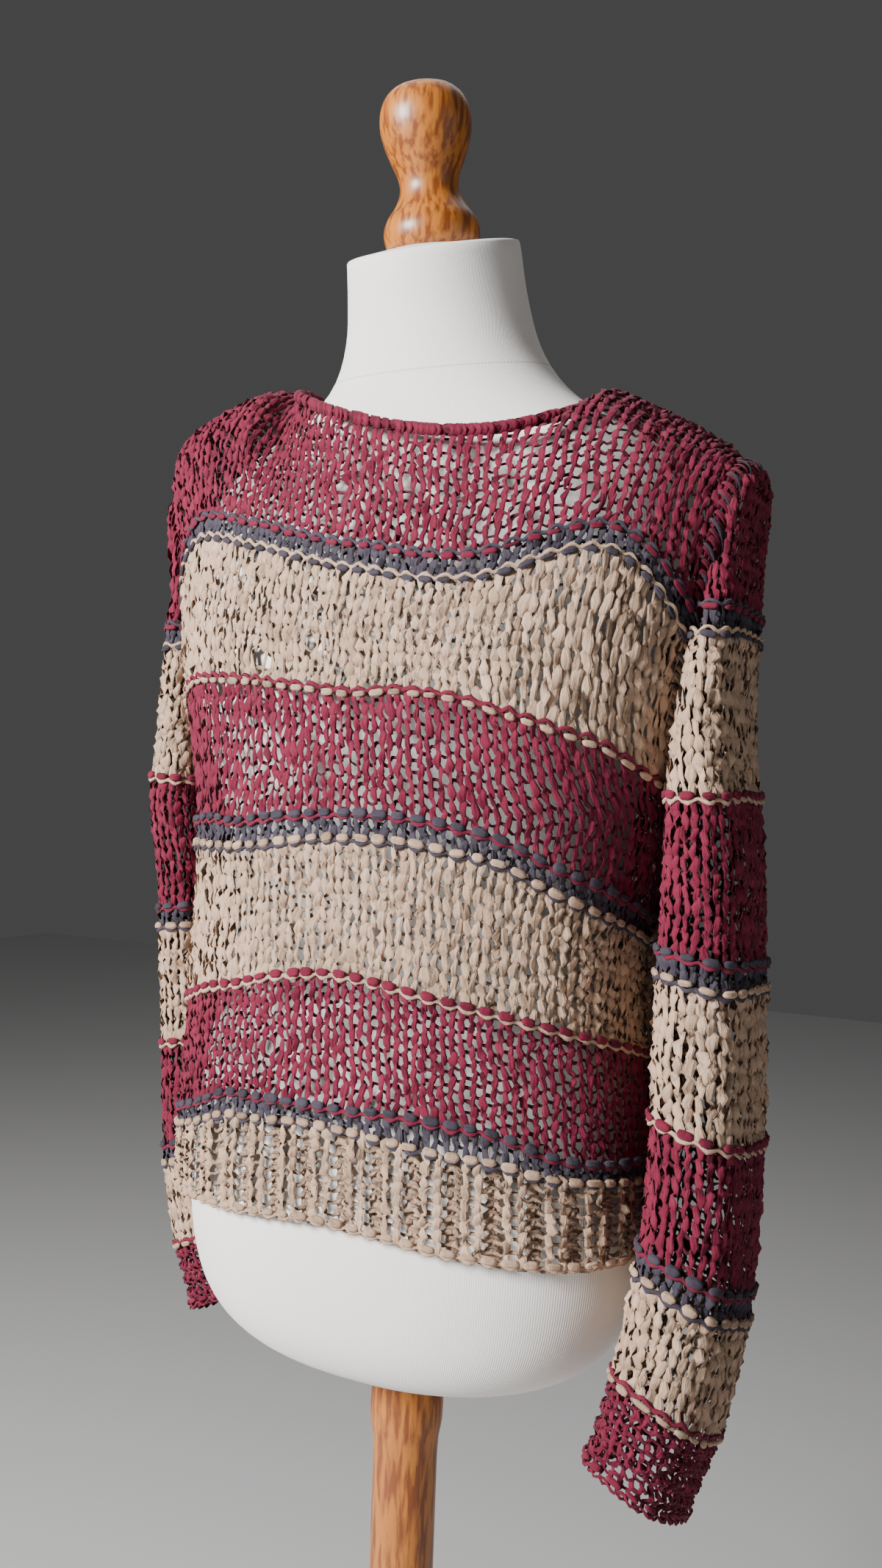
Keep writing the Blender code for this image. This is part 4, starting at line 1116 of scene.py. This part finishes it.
class SWEATER_OT_sleeves(bpy.types.Operator):
    """Knit the sleeves as tubes with an open cap"""
    bl_idname = "sweater.sleeves"
    bl_label = "Knit the sleeves"

    def execute(self, context):
        for name, seed in (("left", 31), ("right", 32)):
            piece = knit_sleeve(name + "_sleeve_knit", cloths()[name],
                                range(CUFF_COURSES, SLEEVE_TOTAL), seed)
            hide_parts(name + "_sleeve")
        return {"FINISHED"}


class SWEATER_OT_cuffs(bpy.types.Operator):
    """Knit the garter ends of the sleeves"""
    bl_idname = "sweater.cuffs"
    bl_label = "Knit the cuffs"

    def execute(self, context):
        for name, seed in (("left", 41), ("right", 42)):
            piece = knit_sleeve(name + "_cuff_knit", cloths()[name], range(CUFF_COURSES), seed,
                                garter=True)
            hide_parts(name + "_cuff")
        return {"FINISHED"}


class SWEATER_OT_neck_edge(bpy.types.Operator):
    """Roll the neck edge and overcast it"""
    bl_idname = "sweater.neck_edge"
    bl_label = "Overcast the neck edge"

    def execute(self, context):
        path, normals = neck_line()
        both = resample(np.concatenate((path, normals), axis=1), NECK_POINTS)
        line, normal = ease(both[:, :3], 6), unit(ease(both[:, 3:], 10))
        along = unit(np.roll(line, -1, axis=0) - np.roll(line, 1, axis=0))
        inwards = unit(np.cross(along, normal))
        inside = (line.mean(axis=0) - line) * inwards
        inwards = inwards * np.sign(inside.sum(axis=1, keepdims=True))
        centre = line + inwards * (NECK_ROLL * 0.9) + normal * 0.0006
        yarn = Yarn(51)
        closed = np.concatenate((centre, centre[:2]))
        facing = np.concatenate((inwards, inwards[:2]))
        swell = 1 + 0.10 * np.sin(np.arange(len(closed)) * 2 * math.pi * 95 / NECK_POINTS)
        yarn.ribbon(closed, facing, 1.1 * NECK_ROLL * swell, 1.25 * NECK_ROLL * swell, "burgundy",
                    yarn.rng.normal(0, 0.3, len(closed)))
        theta = np.linspace(0, 2 * math.pi, 15)
        steps = yarn.rng.choice(NECK_STEPS, 200, p=NECK_CHANCES)
        places = np.cumsum(steps * (1 + yarn.rng.normal(0, 0.1, 200)))
        for at in places[places < NECK_POINTS - 1]:
            index = (at + 2.3 * np.sin(theta - 0.7)) % NECK_POINTS
            low = np.floor(index).astype(int) % NECK_POINTS
            high, t = (low + 1) % NECK_POINTS, (index - np.floor(index))[:, None]
            c, i, n = (grid[low] * (1 - t) + grid[high] * t for grid in (centre, inwards, normal))
            out = unit(i * np.cos(theta)[:, None] + n * np.sin(theta)[:, None])
            centres = c + out * (NECK_ROLL + 0.0005 + abs(yarn.rng.normal(0, 0.0003)))
            width = 0.0019 * (1 + yarn.rng.normal(0, 0.22))
            yarn.ribbon(centres, out, width, SEWING_HALF_THICKNESS, "burgundy",
                        yarn.rng.normal(0, 0.6))
        piece = yarn.piece("neck_edge_knit")
        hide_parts("neck_band")
        return {"FINISHED"}


class SWEATER_OT_seams(bpy.types.Operator):
    """Overcast the armhole, side and shoulder seams"""
    bl_idname = "sweater.seams"
    bl_label = "Sew the seams"

    def execute(self, context):
        front, back = cloths()["front"], cloths()["back"]
        wales = context.scene.sweater_knit.wales
        for name, side in SIDES:
            yarn = Yarn(61 if side > 0 else 62)
            edge = wales if side > 0 else 0
            courses = np.arange(0.3, front.top[-1 if side > 0 else 0] - 0.2, 0.25)
            ends = [cloth.at(np.full(len(courses), float(edge)), courses)
                    for cloth in (front, back)]
            (ahead, *_), (behind, *_) = ends
            closed = behind[:, 1] - ahead[:, 1] < SEWN_BELOW
            below = np.flatnonzero(closed & (ahead[:, 2] < ARMPIT + 0.01))
            path = (ahead[below] + behind[below]) / 2
            outward = np.tile((side, 0.0, 0.0), (len(below), 1))
            crosswise = np.tile((0.0, 1.0, 0.0), (len(below), 1))
            yarn.whips(path, crosswise, outward, SIDE_SEAM, lambda i: "slate")
            for point, normal, across, _ in ends:
                above = np.flatnonzero(point[:, 2] > ARMPIT + 0.004)
                names = [stripe_of(PANEL_STRIPES, int(c)) for c in courses[above]]
                out = unit(normal[above] + np.array((side * 1.4, 0.0, 0.0)))
                sideways = across[above] * side
                seam = point[above] + sideways * 0.0015 + out * 0.0008
                yarn.whips(seam, sideways, out, ARMHOLE_SEAM, lambda i: names[i])
                yarn.whips(seam, sideways, out, ARMHOLE_THREAD,
                           lambda i: "slate" if side > 0 else names[i])
            seam = np.array([row[1:] for row in SHOULDER_SEAM if row[0] * side > 0])
            line = interpolate(np.linspace(0, len(seam) - 1, 30), np.arange(len(seam)), seam)
            slope = unit(np.gradient(line, axis=0))
            crosswise = np.tile((0.0, 1.0, 0.0), (len(line), 1))
            upward = unit(np.cross(slope, crosswise))
            upward = upward * np.sign(upward[:, 2:])
            yarn.whips(line, crosswise, upward, SHOULDER_STITCHES, lambda i: "burgundy")
            piece = yarn.piece(name + "_seams")
        return {"FINISHED"}


class SWEATER_OT_dress_form(bpy.types.Operator):
    """Model the limbless form in its jersey cover"""
    bl_idname = "sweater.dress_form"
    bl_label = "Cover the dress form"

    def execute(self, context):
        colour = (*context.scene.sweater_form.jersey, 1.0)
        jersey = finish_with("off_white_jersey", group_of("Ribbed jersey", jersey_group),
                             {"Colour": colour}, 0.25, 0.0003,
                             {"Roughness": 0.9, "Sheen Weight": 0.1, "Sheen Roughness": 0.5,
                              "Specular IOR Level": 0.2})
        piece = model_torso(jersey)
        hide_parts("form_torso")
        return {"FINISHED"}


class SWEATER_OT_stand(bpy.types.Operator):
    """Turn the knob, the pole and the base"""
    bl_idname = "sweater.stand"
    bl_label = "Turn the stand"

    def execute(self, context):
        form = context.scene.sweater_form
        wood = finish_with("amber_turned_wood", group_of("Turned wood", wood_group),
                           {"Light": (*form.wood_light, 1.0), "Dark": (*form.wood_dark, 1.0)},
                           0.12, 0.0004,
                           {"Coat Weight": 0.18, "Coat Roughness": 0.30})
        lean = Matrix.Rotation(KNOB_LEAN, 4, "X")
        foot = Matrix.Translation((0.0, 0.0, FOOT_GAP))
        places = (
            ("turned_knob", "neck_knob", smooth_profile(KNOB_PROFILE, 48), 64,
             Matrix.Translation(NECK_TOP) @ lean @ foot),
            ("turned_pole", "stand_pole", smooth_profile(POLE_PROFILE, 60), 64,
             Matrix.Translation((0.0, 0.0, BASE_HEIGHT + FOOT_GAP))),
            ("turned_base", "stand_base", smooth_profile(BASE_PROFILE, 40), 96,
             Matrix.Identity(4)),
        )
        for name, node, profile, sides, place in places:
            piece = turn_on_lathe(name, profile, sides, place, wood)
            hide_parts(node)
        return {"FINISHED"}


class SWEATER_OT_studio(bpy.types.Operator):
    """Lay the floor, and set up the lights and the camera"""
    bl_idname = "sweater.studio"
    bl_label = "Set up the studio"

    def execute(self, context):
        studio = context.scene.sweater_studio
        start_fresh()
        bpy.ops.mesh.primitive_plane_add(size=12.0, location=(0.0, 0.0, 0.0))
        floor = bpy.context.object
        floor.name = "studio_floor"
        material = bpy.data.materials.new("pale_floor")
        material.use_nodes = True
        shader = material.node_tree.nodes["Principled BSDF"]
        shader.inputs["Base Color"].default_value = (*studio.floor, 1.0)
        shader.inputs["Roughness"].default_value = 0.9
        floor.data.materials.append(material)

        world = bpy.data.worlds.get("World") or bpy.data.worlds.new("World")
        context.scene.world = world
        world.use_nodes = True
        backdrop = world.node_tree.nodes["Background"]
        backdrop.inputs["Color"].default_value = (0.66, 0.66, 0.665, 1.0)
        backdrop.inputs["Strength"].default_value = 0.10

        right = Vector((math.cos(studio.azimuth), math.sin(studio.azimuth), 0.0))
        ahead = Vector((-math.sin(studio.azimuth), math.cos(studio.azimuth), 0.0))
        place = -ahead * studio.distance + right * CAMERA_SIDESTEP
        place.z = studio.height
        for name, power, size, level, offset in (
                ("key", studio.key_power, 0.7, 1.85, -right * 1.75 - ahead * 1.25),
                ("fill", studio.fill_power, 1.6, 1.3, right * 1.8 - ahead * 1.2),
                ("top", studio.fill_power * 1.2, 1.2, 2.6, ahead * 0.5)):
            offset = offset + Vector((0.0, 0.0, level))
            light = bpy.data.lights.new(name + "_light", "AREA")
            light.energy, light.size = power, size
            lamp = bpy.data.objects.new(name + "_light", light)
            context.scene.collection.objects.link(lamp)
            lamp.location = offset
            aim = Vector((0.0, 0.0, 1.1)) - offset
            lamp.rotation_euler = aim.to_track_quat("-Z", "Y").to_euler()

        camera = bpy.data.objects.new("photo_camera", bpy.data.cameras.new("photo_camera"))
        context.scene.collection.objects.link(camera)
        camera.data.sensor_fit = "VERTICAL"
        camera.data.sensor_height = 24.0
        camera.data.lens = 24.0 * CAMERA_FOCAL / IMAGE_HEIGHT
        camera.data.clip_start = 0.01
        up = Vector((0.0, 0.0, 1.0)) * math.cos(studio.roll) - right * math.sin(studio.roll)
        across = ahead.cross(up)
        turned = Matrix((across, up, -ahead)).transposed().to_4x4()
        camera.matrix_world = Matrix.Translation(place) @ turned
        context.scene.camera = camera
        return {"FINISHED"}


class SWEATER_PT_panel(bpy.types.Panel):
    """The pieces of the sweater and their settings"""
    bl_idname = "SWEATER_PT_panel"
    bl_label = "Knit sweater"
    bl_space_type = "VIEW_3D"
    bl_region_type = "UI"
    bl_category = "Sweater"

    def draw(self, context):
        for title, settings, operators in (
                ("Knitting", context.scene.sweater_knit, KNITTING),
                ("Yarn", context.scene.sweater_yarn, ()),
                ("Dress form", context.scene.sweater_form, FORM),
                ("Studio", context.scene.sweater_studio, STUDIO)):
            box = self.layout.box()
            box.label(text=title)
            for key in settings.__annotations__:
                box.prop(settings, key)
            for operator in operators:
                box.operator(operator.bl_idname)


KNITTING = (SWEATER_OT_panels, SWEATER_OT_hem_ribs, SWEATER_OT_sleeves, SWEATER_OT_cuffs,
            SWEATER_OT_neck_edge, SWEATER_OT_seams)
FORM = (SWEATER_OT_dress_form, SWEATER_OT_stand)
STUDIO = (SWEATER_OT_studio,)
SETTINGS = (("sweater_knit", KnitSettings), ("sweater_yarn", YarnSettings),
            ("sweater_form", FormSettings), ("sweater_studio", StudioSettings))


def register():
    for _, kind in SETTINGS:
        bpy.utils.register_class(kind)
    for name, kind in SETTINGS:
        setattr(bpy.types.Scene, name, PointerProperty(type=kind))
    for kind in (*KNITTING, *FORM, *STUDIO, SWEATER_PT_panel):
        bpy.utils.register_class(kind)


def unregister():
    for kind in (SWEATER_PT_panel, *STUDIO, *FORM, *KNITTING):
        bpy.utils.unregister_class(kind)
    for name, kind in SETTINGS:
        delattr(bpy.types.Scene, name)
        bpy.utils.unregister_class(kind)


def main():
    register()
    bpy.ops.sweater.studio()
    bpy.ops.sweater.dress_form()
    bpy.ops.sweater.stand()
    bpy.ops.sweater.panels()
    bpy.ops.sweater.hem_ribs()
    bpy.ops.sweater.sleeves()
    bpy.ops.sweater.cuffs()
    bpy.ops.sweater.neck_edge()
    bpy.ops.sweater.seams()


if __name__ == "__main__":
    main()
